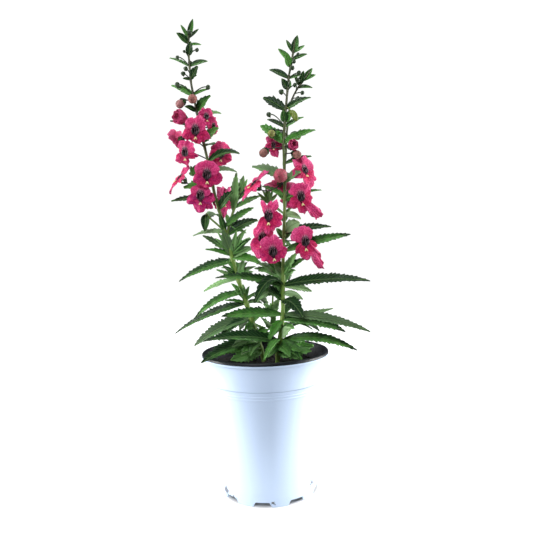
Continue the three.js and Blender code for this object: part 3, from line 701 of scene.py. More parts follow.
# %% Stem skin and green bud skin
# A young herb's stem: satin, ribbed, fresh green at its foot and stained purple-brown where
# the sun reaches the flower spike. Streaks run along it, about 1 mm apart. bottom and top are
# the heights in metres between which the stain comes on.
def stem_skin(name, low, high, bottom, top, streak, roughness):
    """The low colour at the foot, the high one above, and lengthwise streaks over both."""
    finish, tree, shader = new_finish(name, roughness, 1.42)
    grain = add(tree, "ShaderNodeAttribute", attribute_name="grain").outputs["Vector"]
    where = add(tree, "ShaderNodeTexCoord").outputs["Object"]
    height = add(tree, "ShaderNodeSeparateXYZ", [where]).outputs["Z"]
    rise = add(tree, "ShaderNodeMapRange", [height, bottom, top, 0.0, 0.75])
    fibres = add(tree, "ShaderNodeTexNoise", {"Vector": grain, "Scale": 1.7, "Detail": 4.0})
    stain = add(tree, "ShaderNodeMath", [fibres, 0.9, rise], operation="MULTIPLY_ADD")
    share = add(tree, "ShaderNodeMapRange", [stain, 0.35, 1.1, 0.0, 1.0])
    skin = add(tree, "ShaderNodeMix", {SHARE: share, UNDER: low, OVER: high}, data_type="RGBA")
    lines = add(tree, "ShaderNodeMapRange", [fibres, 0.55, 0.75, 0.0, 0.5])
    colour = add(tree, "ShaderNodeMix", {SHARE: lines, UNDER: skin, OVER: streak}, data_type="RGBA")
    surface(tree, shader, colour, fibres, 0.3)
    return finish


stem_green = stem_skin("stem skin, ribbed", "#6b8c36", "#44452f", 0.2, 0.34, "#aab965", 0.5)
stalk_purple = stem_skin("flower stalk skin, dark", "#2c2a22", "#241b20", 0.1, 0.3, "#4a5332", 0.5)
bud_green = stem_skin("green bud skin, dark", "#2a4020", "#1c2a1a", 0.3, 0.5, "#5c7038", 0.42)
bud_lime = stem_skin("green bud skin, ripe", "#6f8030", "#5f6d2c", 0.3, 0.5, "#a3ab52", 0.45)
STEM_FINISHES = [stem_green, stalk_purple, bud_green, bud_lime]
STEM_SKIN, STALK_SKIN, BUD_SKIN, RIPE_SKIN = range(4)
print([finish.name for finish in STEM_FINISHES])

# %% Petals
# Velvet of tiny domed cells: a faint sheen, no hard gloss. Nearly black by the throat, which is
# partly the petal's own dark and partly painted shade of the deep throat; crimson in the middle;
# brighter at the rim, which is partly its own colour and partly a painted glow of light through
# the thin edge. It is clouded with purple, with pale streaks over the throat and veins that fan
# out about 1 mm apart. The flecks, dark ones and faint light ones, are 0.7 mm, drawn at 1.25 mm
# so that they show; the light ones are painted glints of the velvet's cells. The clouds are 3 mm.
# The two upper petals, the hood, are pinker.
FLECK = 1.25
CLOUD = 3.1
PETAL_REACH = 16.0
VEINS_IN_A_RADIAN = 9.0
STREAKS_IN_A_RADIAN = 3.6


def petal_skin(name, near, middle, rim, purple, flecks, fleck_share):
    """Colours from the throat outwards, with purple clouds and dark flecks on them."""
    finish, tree, shader = new_finish(name, 0.6, 1.4)
    shader.inputs["Sheen Weight"].default_value = 0.03
    shader.inputs["Sheen Roughness"].default_value = 0.4
    shader.inputs["Sheen Tint"].default_value = linear("#ff8fbc")
    shader.inputs["Specular IOR Level"].default_value = 0.2
    attribute = add(tree, "ShaderNodeAttribute", attribute_name="grain")
    turn, out, tone = add(tree, "ShaderNodeSeparateXYZ", [attribute.outputs["Vector"]]).outputs
    ray = attribute.outputs["Alpha"]
    where = add(tree, "ShaderNodeTexCoord").outputs["Object"]
    # crimson to the bright rim, partly a painted glow, along a wandering line, with purple clouds
    cloud = add(tree, "ShaderNodeTexNoise", {"Vector": where, "Scale": every(CLOUD), "Detail": 4.0})
    wander = add(tree, "ShaderNodeMath", [cloud, 1.6, out], operation="MULTIPLY_ADD")
    reach = add(tree, "ShaderNodeMath", [wander, PETAL_REACH], operation="DIVIDE")
    fade = add(tree, "ShaderNodeValToRGB", [reach],
               stops=[(0.0, middle), (1.0, rim), (0.62, middle), (0.86, rim)])
    patch = add(tree, "ShaderNodeMapRange", [cloud, 0.4, 0.62, 0.0, 1.0])
    shade = add(tree, "ShaderNodeMath", [patch, 0.5, 0.5], operation="MULTIPLY_ADD")
    share = add(tree, "ShaderNodeMath", [shade, tone], operation="MULTIPLY")
    tinted = add(tree, "ShaderNodeMix", {SHARE: share, UNDER: fade, OVER: purple}, data_type="RGBA")
    # dark flecks and light painted glints are the two ends of one noise
    grit = add(tree, "ShaderNodeTexNoise", {"Vector": where, "Scale": every(FLECK), "Detail": 3.0})
    fleck = add(tree, "ShaderNodeMapRange", [grit, 0.47, 0.58, 0.0, fleck_share])
    flecked = add(tree, "ShaderNodeMix", {SHARE: fleck, UNDER: tinted, OVER: flecks}, data_type="RGBA")
    painted_glint = add(tree, "ShaderNodeMapRange", [grit, 0.46, 0.36, 0.0, 0.15])
    with_painted_glints = add(tree, "ShaderNodeMix", {SHARE: painted_glint, UNDER: flecked, OVER: "#ff86ac"}, data_type="RGBA")
    # the dark of the throat, partly painted shade of its hollow, ends in points that follow the veins
    fan = add(tree, "ShaderNodeMath", [turn, VEINS_IN_A_RADIAN], operation="MULTIPLY")
    line = add(tree, "ShaderNodeMath", [fan, 0.5], operation="PINGPONG")
    vein = add(tree, "ShaderNodeMapRange", [line, 0.0, 0.22, 0.3, 0.0])
    ragged = add(tree, "ShaderNodeMath", [line, 0.16, reach], operation="MULTIPLY_ADD")
    throat_dark_and_shade = add(tree, "ShaderNodeMapRange", [ragged, 0.3, 0.37, 1.0, 0.0])
    throat_shade_and_veins = add(tree, "ShaderNodeMath", [throat_dark_and_shade, vein], operation="MAXIMUM")
    deep = add(tree, "ShaderNodeMix", {SHARE: throat_shade_and_veins, UNDER: with_painted_glints, OVER: near}, data_type="RGBA")
    # pale streaks over the throat, where the petal's ray says so
    stripe = add(tree, "ShaderNodeMath", [turn, STREAKS_IN_A_RADIAN], operation="MULTIPLY")
    beam = add(tree, "ShaderNodeMath", [stripe, 0.5], operation="PINGPONG")
    bright = add(tree, "ShaderNodeMapRange", [beam, 0.2, 0.34, 0.0, 1.0])
    rays = add(tree, "ShaderNodeMath", [bright, ray], operation="MULTIPLY")
    colour = add(tree, "ShaderNodeMix", {SHARE: rays, UNDER: deep, OVER: "#d9a3b2"}, data_type="RGBA")
    furrow = add(tree, "ShaderNodeMath", [line, cloud], operation="ADD")
    surface(tree, shader, colour, furrow, 0.9)
    return finish


# The near colours, almost black, are partly the throat's own dark and partly painted shade; the rim colours
# are partly a painted glow.
petal_face = petal_skin("petal velvet, lip", "#3c1026", "#f83068", "#ff5c94", "#aa1e6c", "#ac124a", 0.54)
petal_hood = petal_skin("petal velvet, hood", "#401030", "#f84c88", "#ff6ca6", "#bc2e7a", "#c4225a", 0.52)
petal_back = petal_skin("petal velvet, back", "#d43c6c", "#f4588a", "#ff7eac", "#cc4c80", "#de4878", 0.35)
print("petal flecks of", FLECK, "mm")

# %% Throat and tooth
# The pouch is lined with near-black purple, partly its own deep colour and partly painted shade
# of the hollow, with pale streaks in its upper half that lead a bee in, a millimetre or two apart;
# the tooth at its lower lip is firm, waxy and cream yellow, with pores of about 1 mm.
STREAK_SPACING = 1.6
PORE = 1.11
throat_lining_and_shade, tree, shader = new_finish("throat lining, dark", 0.55)
grain = add(tree, "ShaderNodeAttribute", attribute_name="grain").outputs["Vector"]
across, up, _ = add(tree, "ShaderNodeSeparateXYZ", [grain]).outputs
uneven = add(tree, "ShaderNodeTexNoise", {"Vector": grain, "Scale": 0.7, "Detail": 3.0})
shifted = add(tree, "ShaderNodeMath", [uneven, 1.6, across], operation="MULTIPLY_ADD")
streak = add(tree, "ShaderNodeMath", [shifted, STREAK_SPACING / 2], operation="PINGPONG")
line = add(tree, "ShaderNodeMapRange", [streak, 0.46, 0.72, 0.0, 0.9])
high = add(tree, "ShaderNodeMapRange", [up, -1.4, 1.6, 0.15, 1.0])
share = add(tree, "ShaderNodeMath", [line, high], operation="MULTIPLY")
# the near-black under the pale streaks is partly painted shade of the pouch's hollow
colour = add(tree, "ShaderNodeMix", {SHARE: share, UNDER: "#1b0711", OVER: "#d3a3ae"}, data_type="RGBA")
surface(tree, shader, colour, uneven, 0.2)

tooth_cream, tree, shader = new_finish("throat tooth, waxy", 0.4)
where = add(tree, "ShaderNodeTexCoord").outputs["Object"]
pores = add(tree, "ShaderNodeTexNoise", {"Vector": where, "Scale": every(PORE), "Detail": 2.0})
tint = add(tree, "ShaderNodeValToRGB", [pores],
           stops=[(0.3, "#e6c9a6"), (0.8, "#fbf3c4"), (0.5, "#f2e5a0")])
surface(tree, shader, tint, pores, 0.1)

# each sheet's finish is followed by that of its other side
FLOWER_FINISHES = [petal_face, petal_back, throat_lining_and_shade, petal_back]
FLOWER_FINISHES += [tooth_cream, tooth_cream, petal_hood, petal_back]
LIP_FINISH, THROAT_FINISH, TOOTH_FINISH, HOOD_FINISH = range(0, 8, 2)
print("throat streaks every", STREAK_SPACING, "mm")

# %% Closed petals of a coloured bud
PUCKER = 2.1


def bud_skin(name, body, ribs):
    """Rolled petals: veins run from stalk to tip, about 1 mm apart, with a matt bloom."""
    finish, tree, shader = new_finish(name, 0.6, 1.4)
    shader.inputs["Sheen Weight"].default_value = 0.08
    grain = add(tree, "ShaderNodeAttribute", attribute_name="grain").outputs["Vector"]
    turn = add(tree, "ShaderNodeSeparateXYZ", [grain]).outputs["X"]
    where = add(tree, "ShaderNodeTexCoord").outputs["Object"]
    cloud = add(tree, "ShaderNodeTexNoise", {"Vector": where, "Scale": every(PUCKER), "Detail": 5.0})
    fan = add(tree, "ShaderNodeMath", [turn, 3.0], operation="MULTIPLY")
    line = add(tree, "ShaderNodeMath", [fan, 0.5], operation="PINGPONG")
    mixed = add(tree, "ShaderNodeMath", [line, cloud], operation="ADD")
    share = add(tree, "ShaderNodeMapRange", [mixed, 0.45, 0.95, 0.0, 1.0])
    colour = add(tree, "ShaderNodeMix", {SHARE: share, UNDER: ribs, OVER: body}, data_type="RGBA")
    surface(tree, shader, colour, mixed, 0.3)
    return finish


print(len(bpy.data.materials), "finishes")

# %% [markdown]
# ## The pot
#
# A nursery pot is sucked down over a mould from hot sheet, so its wall is thin and even: a
# rolled rim, a collar, a small step that lets pots nest, and a foot with notches for drainage.
# The roll of the rim is black, as the inside is. It is a turned shape, so its outline is spun
# round the axis; the notches are then cut away with nine wedges, as a Boolean, because cuts
# across a turned wall are not turned themselves.

# %% Pot outline
def body_at(z):
    """The outside of the tapered body."""
    return FOOT_RADIUS + (BODY_RADIUS - FOOT_RADIUS) * z / STEP_HEIGHT


def inside_at(z):
    """The inside, which widens a little faster above the step."""
    return body_at(z) - WALL + max(0, z - STEP_HEIGHT) * 0.06


def rounded(centre_r, centre_z, radius, start, end, steps=5):
    """Points along a rounded edge, from one angle to another, in degrees from outward."""
    points = []
    for k in range(steps + 1):
        a = math.radians(start + (end - start) * k / steps)
        points.append((centre_r + radius * math.cos(a), centre_z + radius * math.sin(a)))
    return points


TOE = 0.6
MOULD_RINGS = (87.4, 89.6)
MOULD_RING_DEPTH = 0.22
RIM_ROLL = 1.3
BRIM = POT_HEIGHT - RIM_LIP

# under the floor, down the inside of the foot and round its toe
pot_outline = [(0, FLOOR_UNDER), (FOOT_RADIUS - 3, FLOOR_UNDER)]
pot_outline += [(FOOT_RADIUS - 2.4, FLOOR_UNDER - 0.8), (FOOT_RADIUS - 2.2, TOE)]
pot_outline += rounded(FOOT_RADIUS - 1.6, TOE, TOE, 180, 270, 3)
pot_outline += rounded(FOOT_RADIUS - TOE, TOE, TOE, 270, 360, 3)
pot_outline += [(body_at(z), z) for z in (8, 20, 34, 48, 62, 74, 82, 86)]
# two faint rings that the mould leaves below the step
for z in MOULD_RINGS:
    proud = body_at(z) + MOULD_RING_DEPTH
    pot_outline += [(body_at(z), z), (proud, z + 0.35), (proud, z + 0.8), (body_at(z), z + 1.15)]
# the step and the collar
pot_outline += [(body_at(STEP_HEIGHT), STEP_HEIGHT - 1.2)]
pot_outline += rounded(body_at(STEP_HEIGHT) + 0.9, STEP_HEIGHT + 0.35, 0.75, 270, 360, 4)
pot_outline += [(body_at(STEP_HEIGHT) + 1.62, STEP_HEIGHT + 2), (COLLAR_RADIUS - 0.9, 103)]
pot_outline += [(COLLAR_RADIUS, BRIM - 0.5), (COLLAR_RADIUS + 0.4, BRIM + 0.1)]
pot_outline += rounded(RIM_RADIUS - 1.1, BRIM + 1.4, 1.1, 280, 360, 4)
# a faint crease parts the white of the lip from the black of its roll
pot_outline += [(RIM_RADIUS, BRIM + 2.0), (RIM_RADIUS - 0.25, BRIM + 2.25), (RIM_RADIUS, BRIM + 2.5)]
pot_outline += rounded(RIM_RADIUS - RIM_ROLL, POT_HEIGHT - RIM_ROLL, RIM_ROLL, 0, 90, 5)
pot_outline += rounded(inside_at(POT_HEIGHT) + 1.5, POT_HEIGHT - 1.5, 1.5, 90, 180, 5)
# down the inside to the middle of the floor
pot_outline += [(inside_at(z), z) for z in (112, 106, STEP_HEIGHT, 70, 40, FLOOR_TOP + 1.5)]
pot_outline += [(inside_at(FLOOR_TOP) - 1.5, FLOOR_TOP), (0, FLOOR_TOP)]
print(len(pot_outline), "points in the pot's outline")

# %% Spin the pot and cut its notches
POT_STEPS = 128
NOTCH_WIDTH = 11.2
NOTCH_MOUTH = 16.8
NOTCH_DEPTH = 12
FIRST_NOTCH = -8
SHARP = math.radians(38)

shape = new_shape()
turn_round_axis(shape, pot_outline, POT_STEPS)
bmesh.ops.recalc_face_normals(shape, faces=shape.faces)

wedges = new_shape()
for k in range(NOTCHES):
    wedge = bmesh.ops.create_cube(wedges, size=1)["verts"]
    for v in wedge:
        high = v.co.z > 0
        v.co.x *= NOTCH_WIDTH if high else NOTCH_MOUTH
        v.co.y = v.co.y * NOTCH_DEPTH - FOOT_RADIUS
        v.co.z = NOTCH_HEIGHT if high else -1
    turn = Matrix.Rotation(math.radians(FIRST_NOTCH + 360 / NOTCHES * k), 3, "Z")
    bmesh.ops.rotate(wedges, verts=wedge, matrix=turn)

cutter = make_object("notch_wedges", wedges)
blank = make_object("pot_blank", shape)
cut = blank.modifiers.new("notches", "BOOLEAN")
cut.operation = "DIFFERENCE"
cut.solver = "EXACT"
cut.object = cutter
bpy.context.view_layer.update()
carved = bpy.data.meshes.new_from_object(blank.evaluated_get(bpy.context.evaluated_depsgraph_get()))
bpy.data.objects.remove(blank)
bpy.data.objects.remove(cutter)

shape = bmesh.new()
shape.from_mesh(carved)
bmesh.ops.remove_doubles(shape, verts=shape.verts, dist=0.01)
for face in shape.faces:
    face.smooth = True
    spot = face.calc_center_median()
    inward = spot.xy.length < inside_at(spot.z) + 0.9 and spot.z > FLOOR_TOP - 0.3
    on_roll = spot.z > BRIM + 2.2
    face.material_index = 1 if inward or on_roll else 0
for edge in shape.edges:
    if len(edge.link_faces) == 2 and edge.calc_face_angle(0) > SHARP:
        edge.smooth = False
print(len(shape.faces), "faces in the pot")
hand_over("moulded_pot", shape, [pot_white, pot_black], "pot_plastic", ["pot"])

# %% [markdown]
# ## Potting mix
#
# The mix lies a centimetre below the rim, lumpy, with crumbs of bark on it. It could be a
# plane with a bumpy finish, but its edge shows where it meets the wall, so the surface is spun
# as rings, pushed up and down by noise, and strewn with small squashed stones of few faces.

# %% Lumpy surface and crumbs
SOIL_RINGS = 30
SOIL_STEPS = 96
SOIL_EDGE = inside_at(SOIL_TOP) - FIT - 0.1
SOIL_LEVEL = SOIL_TOP - 1.2
MOUND = 1.4
BIG_LUMP = 1.6
SMALL_LUMP = 0.9
CRUMBS = 420


def big_lump(spot):
    """How far the broad rise and fall of the mix lifts a place."""
    return noise.noise(spot * 0.16) * BIG_LUMP


def mound_at(far):
    """The mix is heaped a little towards the middle."""
    return MOUND * (1 - far / SOIL_EDGE)


shape = new_shape()
outline = [(0, FLOOR_TOP + FIT), (inside_at(FLOOR_TOP) - FIT, FLOOR_TOP + FIT)]
outline += [(inside_at(z) - FIT, z) for z in (30, 60, STEP_HEIGHT)]
outline += [(SOIL_EDGE * k / SOIL_RINGS, SOIL_LEVEL) for k in range(SOIL_RINGS, -1, -1)]
turn_round_axis(shape, outline, SOIL_STEPS)
for v in shape.verts:
    if v.co.z > SOIL_TOP - 3:
        v.co.z += big_lump(v.co) + noise.noise(v.co * 0.55) * SMALL_LUMP + mound_at(v.co.xy.length)
bmesh.ops.recalc_face_normals(shape, faces=shape.faces)

chance = Chance(29)
for k in range(CRUMBS):
    far = SOIL_EDGE * 0.97 * math.sqrt(chance.draw())
    around = chance.draw(0, math.tau)
    size = chance.draw(0.5, 1.9)
    spot = Vector((far * math.cos(around), far * math.sin(around), SOIL_TOP))
    spot.z = SOIL_LEVEL + mound_at(far) + big_lump(spot) + size * 0.2
    turn = Matrix.Rotation(chance.draw(0, math.tau), 4, "Z")
    tilt = Matrix.Rotation(chance.draw(-0.6, 0.6), 4, "X")
    flat = Matrix.Diagonal((size * chance.draw(0.9, 2.0), size, size * chance.draw(0.4, 0.8), 1))
    place = Matrix.Translation(spot) @ turn @ tilt @ flat
    bmesh.ops.create_icosphere(shape, subdivisions=1, radius=1, matrix=place)
for face in shape.faces:
    face.smooth = len(face.verts) == 4
print(len(shape.faces), "faces in the mix and its crumbs")
hand_over("peat_mix", shape, [mix_peat], "potting_mix", ["soil"])

# %% [markdown]
# ## Stems, stalks and green buds
#
# A stem is a tapering tube with four low ribs, swollen a little where leaves leave it. Flower
# stalks are thin dark wires that end in a green cup, and the youngest flowers are still round
# green buds. A curve with a round bevel would do for the stalks, but not for the swellings and
# cups, so each tube is a sheet rolled up round its centre line.

# %% Stems
RIBS = 4
RIB_DEPTH = 0.05
SWELLING = 0.22
SWELLING_REACH = 1.7
STEM_ROW = 1.6


def stem_at(line, z):
    """The centre line's place and radius at a height."""
    k = 0
    while k < len(line) - 2 and line[k + 1][2] < z:
        k += 1
    share = (z - line[k][2]) / (line[k + 1][2] - line[k][2])
    return Vector(line[k]).lerp(Vector(line[k + 1]), share)


def add_stem(shape, line, nodes):
    """Rolls a ribbed tube round a centre line; nodes are the heights where leaves leave it."""
    low, high = line[0][2], line[-1][2]

    def centre(z):
        # five places close together round off the corners of the centre line
        spots = [stem_at(line, min(max(z + step, low), high)) for step in (-4, -2, 0, 2, 4)]
        return sum(spots, Vector((0, 0, 0, 0))) / len(spots)

    def lay(u, v):
        z = low + (high - low) * v
        here = centre(z)
        heading = (centre(min(z + 1, high)) - centre(max(z - 1, low))).to_3d()
        side, top = ring(heading.normalized(), Vector((0, 1, 0)))
        swell = sum(math.exp(-((z - node) / SWELLING_REACH) ** 2) for node in nodes)
        a = math.tau * u
        radius = here[3] * (1 + RIB_DEPTH * math.cos(RIBS * a) + SWELLING * min(1, swell))
        if v > 0.999 or v < 0.001:
            radius = 0
        place = Vector((here[0], here[1], z)) + (side * math.cos(a) + top * math.sin(a)) * radius
        return place, (math.cos(a) * 1.6, math.sin(a) * 1.6, z * 0.08, 0)

    close_tube(shape, wrap(shape, 12, round((high - low) / STEM_ROW), lay, STEM_SKIN))


print("the left stem at 200 mm, and its radius:", [round(c, 1) for c in stem_at(LEFT_STEM, 200)])

# %% Stalks with a cup or a bud at the end
STALK_ROWS = 7
LOBES = 5
LOBE_DEPTH = 0.07


def add_stalk(shape, start, end, facing, profile, finish):
    """A thin tube that arrives along the flower's facing.

    profile gives (distance before the end, radius), from the stalk to the end; its thick part
    is furrowed into lobes.
    """
    middle = end - facing * 0.45 * (end - start).length
    length = (end - start).length * 1.04
    thin = profile[0][1]
    rows = [(k / STALK_ROWS * max(0.3, 1 - profile[0][0] / length), thin) for k in range(STALK_ROWS)]
    rows += [(1 - before / length, radius) for before, radius in profile] + [(1, 0)]
    hint = Vector((0, -1, 0.3)) if abs(facing.z) > 0.8 else UP

    def lay(u, v):
        t, radius = rows[round(v * (len(rows) - 1))]
        place, heading = bow(start, middle, end, min(max(t, 0), 1))
        side, top = ring(heading, hint)
        a = math.tau * u
        if radius > thin * 1.2:
            radius *= 1 + LOBE_DEPTH * math.cos(LOBES * a)
        place = place + (side * math.cos(a) + top * math.sin(a)) * radius
        return place, (math.cos(a), math.sin(a), t * length * 0.3, 0)

    close_tube(shape, wrap(shape, 10, len(rows) - 1, lay, finish))


def add_cup(shape, root, back, facing, radius):
    """The stalk of an open flower or coloured bud, with the green cup behind it."""
    cup = [(4.2, 0.5), (3.4, 0.65), (2.6, radius * 0.62)]
    cup += [(1.6, radius * 0.9), (0.6, radius), (0.1, radius * 0.9)]
    add_stalk(shape, root, back, facing, cup, STALK_SKIN)


def add_green_bud(shape, line, height, spot, radius, stretch=1):
    """A bud that nods on an arching stalk; a long one is ripe and yellow-green."""
    root = stem_at(line, height).to_3d()
    facing = Vector((spot[0] - root.x, spot[1] - root.y, 0)).normalized() * 0.7 / stretch
    facing.z = -1
    facing.normalize()
    half = radius * stretch
    end = Vector(spot) + facing * half
    bud = [(half * 2.1, 0.45), (half * 1.9, radius * 0.62), (half * 1.5, radius * 0.92)]
    bud += [(half, radius * 1.02), (half * 0.5, radius * 0.82), (half * 0.15, radius * 0.42)]
    add_stalk(shape, root, end, facing, bud, RIPE_SKIN if stretch > 1 else BUD_SKIN)


def seats_on(lines):
    """Where the flowers and coloured buds of these stems sit.

    Each gives its stalk's root, the middle of its back, its facing and its cup's radius.
    """
    seats = [(row[1:6], CUP_DEPTH * row[7], CUP_RADIUS) for row in BLOOMS]
    seats += [(row[1:6], row[6] * 1.12, min(CUP_RADIUS, row[6] * 0.7)) for row in BUDS]
    for (line, height, spot, azimuth, elevation), behind, radius in seats:
        if any(line is own for own, _ in lines):
            facing = direction(azimuth, elevation)
            yield stem_at(line, height).to_3d(), Vector(spot) - facing * (behind + FIT), facing, radius


def grow_stems(name, lines, bud_rows, node):
    """One piece with every stem, stalk, cup and green bud of one plant half."""
    shape = new_shape()
    for line, leaf_rows in lines:
        add_stem(shape, line, [row[0] for row in leaf_rows])
    for line, rows in bud_rows:
        for row in rows:
            add_green_bud(shape, line, *row)
    for root, back, facing, radius in seats_on(lines):
        add_cup(shape, root, back, facing, radius)
    bmesh.ops.recalc_face_normals(shape, faces=shape.faces)
    print(name, len(shape.faces), "faces")
    return hand_over(name, shape, STEM_FINISHES, "green_growth", [node])


left_lines = [
    (LEFT_STEM, LEFT_LEAVES),
    (LEFT_BRANCH, LEFT_BRANCH_LEAVES),
    (LEFT_SPRIG, LEFT_SPRIG_LEAVES),
]
right_lines = [
    (RIGHT_STEM, RIGHT_LEAVES),
    (RIGHT_BRANCH, RIGHT_BRANCH_LEAVES),
    (RIGHT_SHOOT, RIGHT_SHOOT_LEAVES),
]
right_buds = [(RIGHT_STEM, RIGHT_BUDS), (RIGHT_BRANCH, RIGHT_BRANCH_BUDS)]
grow_stems("stems_left", left_lines, [(LEFT_STEM, LEFT_BUDS)], "stem_left")
grow_stems("stems_right", right_lines, right_buds, "stem_right")

# %% [markdown]
# ## Leaves
#
# A leaf is a narrow blade, folded up along its midrib, with saw teeth that point to the tip.
# It could be a card with a cut-out picture, but the fold and the teeth make its outline from
# every side, so each leaf is a small sheet bent along its curve, and a thickness added last
# gives it its under side with a finish of its own. Five tiny blades make each flower's sepals.
#
# In the corners between leaf and stem sit tufts of young leaves, some on a short shoot. They
# are too fine for the solid model, so they are rows of a table that only this scene has.

# %% One blade
BLADE = 0.5
TOOTH_SPACING = 3.6
PLAIN_ROW = 2.2
NARROW = 4.5
TWIST = math.radians(22)
FOLD = 0.42
FOLD_EASE = 0.022
RUFFLE = 0.045
# how much greyer the half of a blade nearer the front is painted, as painted light and sheen
PAINTED_LIGHT_GREY = 0.18
LONG_LEAF = 50
DRY_FROM = 0.88
DRYNESS = 14


def add_blade(shape, root, tip, width, lift, hint, tone, wave, toothed, paleness=0.0):
    """A blade from root to tip, lifted in its middle, with its face turned to the hint.

    tone is how fresh its green is, wave shifts its teeth and ruffles, and paleness fades it.
    """
    length = (tip - root).length
    rows = 3 * max(3, round(length / TOOTH_SPACING)) if toothed else max(6, round(length / PLAIN_ROW))
    middle = (root + tip) / 2 + lift
    across = 6 if width > NARROW else 4
    twist = TWIST * math.sin(2.7 * wave) if toothed else 0

    def lay(u, v):
        share = u * 2 - 1
        row = round(v * rows)
        # each tooth takes three rows; no two are alike, and they are weaker on one edge
        size = (0.5 + 0.5 * math.sin(2.3 * (row // 3) + wave)) * (1 if share > 0 else 0.6)
        notch, slip = 1.0, 0
        if toothed and v > 0.2:
            notch = (0.92 - 0.1 * size, 1.0, 1.06 + 0.26 * size)[row % 3]
            # its point reaches forward, towards the tip of the leaf
            if row % 3 == 2 and abs(share) > 0.9 and v < 0.97:
                slip = 1.1 * size / rows
        swell = math.sin(math.pi * min(v, 0.995) ** 0.8) ** 0.75
        half = max(0.55, 0.5 * width * swell * (1 + (notch - 1) * abs(share) ** 4))
        if v > 0.995:
            half = 0.12
        place, heading = bow(root, middle, tip, min(1, v + slip))
        side = heading.cross(hint).normalized()
        top = side.cross(heading)
        bend = twist * v
        outward = side * math.cos(bend) + top * math.sin(bend)
        upward = top * math.cos(bend) - side * math.sin(bend)
        off = share * half
        ripple = math.sin(v * length * 0.42 + wave + (2 if share > 0 else 0))
        rise = abs(off) * FOLD - off * off * FOLD_EASE + RUFFLE * half * share * share * ripple
        place = place + outward * off + upward * rise
        # the half nearer to the front catches more light, and this is painted: its green is made greyer and
        # fresher
        near = (share if heading.x > 0 else -share) * min(1, half / 3)
        painted_grey = PAINTED_LIGHT_GREY * max(0, near) * min(1, max(0, tone))
        # the longest leaves are dried dark at the tip, where the midrib is lost
        dried = DRYNESS * max(0, v - DRY_FROM) if length > LONG_LEAF else 0
        return place, (off + dried, v * length, tone + 0.3 * near - dried, paleness + painted_grey)

    wrap(shape, across, rows, lay)


print("leaf teeth about every", TOOTH_SPACING, "mm")

# %% Tufts of young leaves
# Stem, height on it, where the shoot ends, width, paleness, tips.
TUFTS = [
    [LEFT_STEM, 263, [-56, 2, 269], 3.4, 0.3,
     [[-58, 0, 277], [-54, 2, 278], [-52, 4, 274], [-60, 4, 272], [-57, 8, 275]]],
    [LEFT_STEM, 201, None, 4, 0.4,
     [[-28, 2, 218], [-21, 0, 221], [-19, 4, 217], [-13, 4, 222], [-10, 0, 215], [-9, -2, 207],
      [-17, 10, 213]]],
    [LEFT_STEM, 182, None, 4, 0.35,
     [[-13, 2, 194], [-19, 6, 191], [-8, -4, 186], [-15, -3, 187], [-6, 8, 190]]],
    [LEFT_STEM, 205, None, 3.6, 0.3,
     [[-39, 4, 215], [-37, 2, 220], [-43, 8, 214], [-40, 0, 209]]],
    [LEFT_STEM, 161, None, 3.2, 0.45,
     [[-17, 2, 175], [-12, 4, 173], [-21, 0, 173], [-7, 2, 168], [-25, 6, 170]]],
    [LEFT_STEM, 186, None, 2.8, 0.45,
     [[-31, 4, 195], [-35, 0, 190], [-29, 8, 198]]],
    [LEFT_STEM, 142, None, 4, 0.2,
     [[-2, 0, 149], [-17, -4, 136], [-14, -6, 136], [-5, 8, 151]]],
    [LEFT_STEM, 130, None, 4.5, 0.15,
     [[-14, -2, 137], [5, -4, 137], [-16, 2, 126], [1, 4, 137]]],
    [LEFT_STEM, 123, None, 6.5, 0.45,
     [[-24, -16, 128], [-18, -24, 122], [-12, -26, 119], [-22, -10, 122], [-15, -18, 127]]],
    [LEFT_BRANCH, 248, [-15, 12, 255], 2.8, 0.4,
     [[-17, 10, 266], [-14, 12, 269], [-11, 14, 266], [-9, 10, 260], [-19, 14, 260], [-9, 16, 257],
      [-13, 8, 263]]],
    [LEFT_BRANCH, 227, None, 3.6, 0.2,
     [[-13, 10, 219], [-17, 12, 237], [-30, 12, 236]]],
    [RIGHT_STEM, 233, [7, 2, 244], 2.7, 0.5,
     [[-2, 2, 253], [2, 0, 255], [5, 4, 257], [8, 0, 255], [11, 2, 255], [15, 6, 252], [0, 6, 248]]],
    [RIGHT_STEM, 181, None, 5, 0.35,
     [[0, 2, 191], [5, 0, 193], [-4, 4, 186], [11, -2, 194], [3, -2, 185], [14, -3, 192], [-7, 8, 188]]],
    [RIGHT_STEM, 183, None, 3.4, 0.3,
     [[25, -8, 192], [22, -12, 190], [28, -6, 186], [21, -4, 195]]],
    [RIGHT_STEM, 168, None, 5, 0.3,
     [[-1, 4, 164], [9, 2, 178], [4, 6, 170], [12, 4, 160]]],
    [RIGHT_STEM, 212, None, 4.2, 0.15,
     [[22, 0, 227], [25, -4, 218], [13, 4, 222], [26, 0, 205], [15, 6, 219]]],
    [RIGHT_STEM, 227, None, 3.6, 0.2,
     [[13, 4, 236], [25, -2, 239], [23, 2, 235]]],
    [RIGHT_STEM, 245, None, 4, 0.1,
     [[14, 0, 254], [26, 4, 256], [27, -4, 249]]],
    [RIGHT_SHOOT, 145, None, 5, 0.75,
     [[2, 0, 158], [6, 4, 158], [10, -2, 153], [13, 2, 158]]],
    [RIGHT_SHOOT, 135, None, 5, 0.6,
     [[-2, -2, 146], [10, -4, 149], [2, -6, 143], [13, 2, 141]]],
    [RIGHT_STEM, 123, None, 8, 0.12,
     [[29, -22, 120], [20, -32, 118], [30, -8, 122], [2, -30, 118], [22, 6, 120]]],
    [RIGHT_STEM, 140, None, 5, 0.1,
     [[5, -6, 134], [26, -2, 136], [3, -14, 131]]],
    [RIGHT_STEM, 117, None, 10, 0.15,
     [[39, -10, 118], [42, 4, 120], [30, -24, 114], [35, 16, 121]]],
    [LEFT_STEM, 117, None, 10, 0.3,
     [[-33, -6, 118], [-28, -22, 115], [-34, 8, 121]]],
]


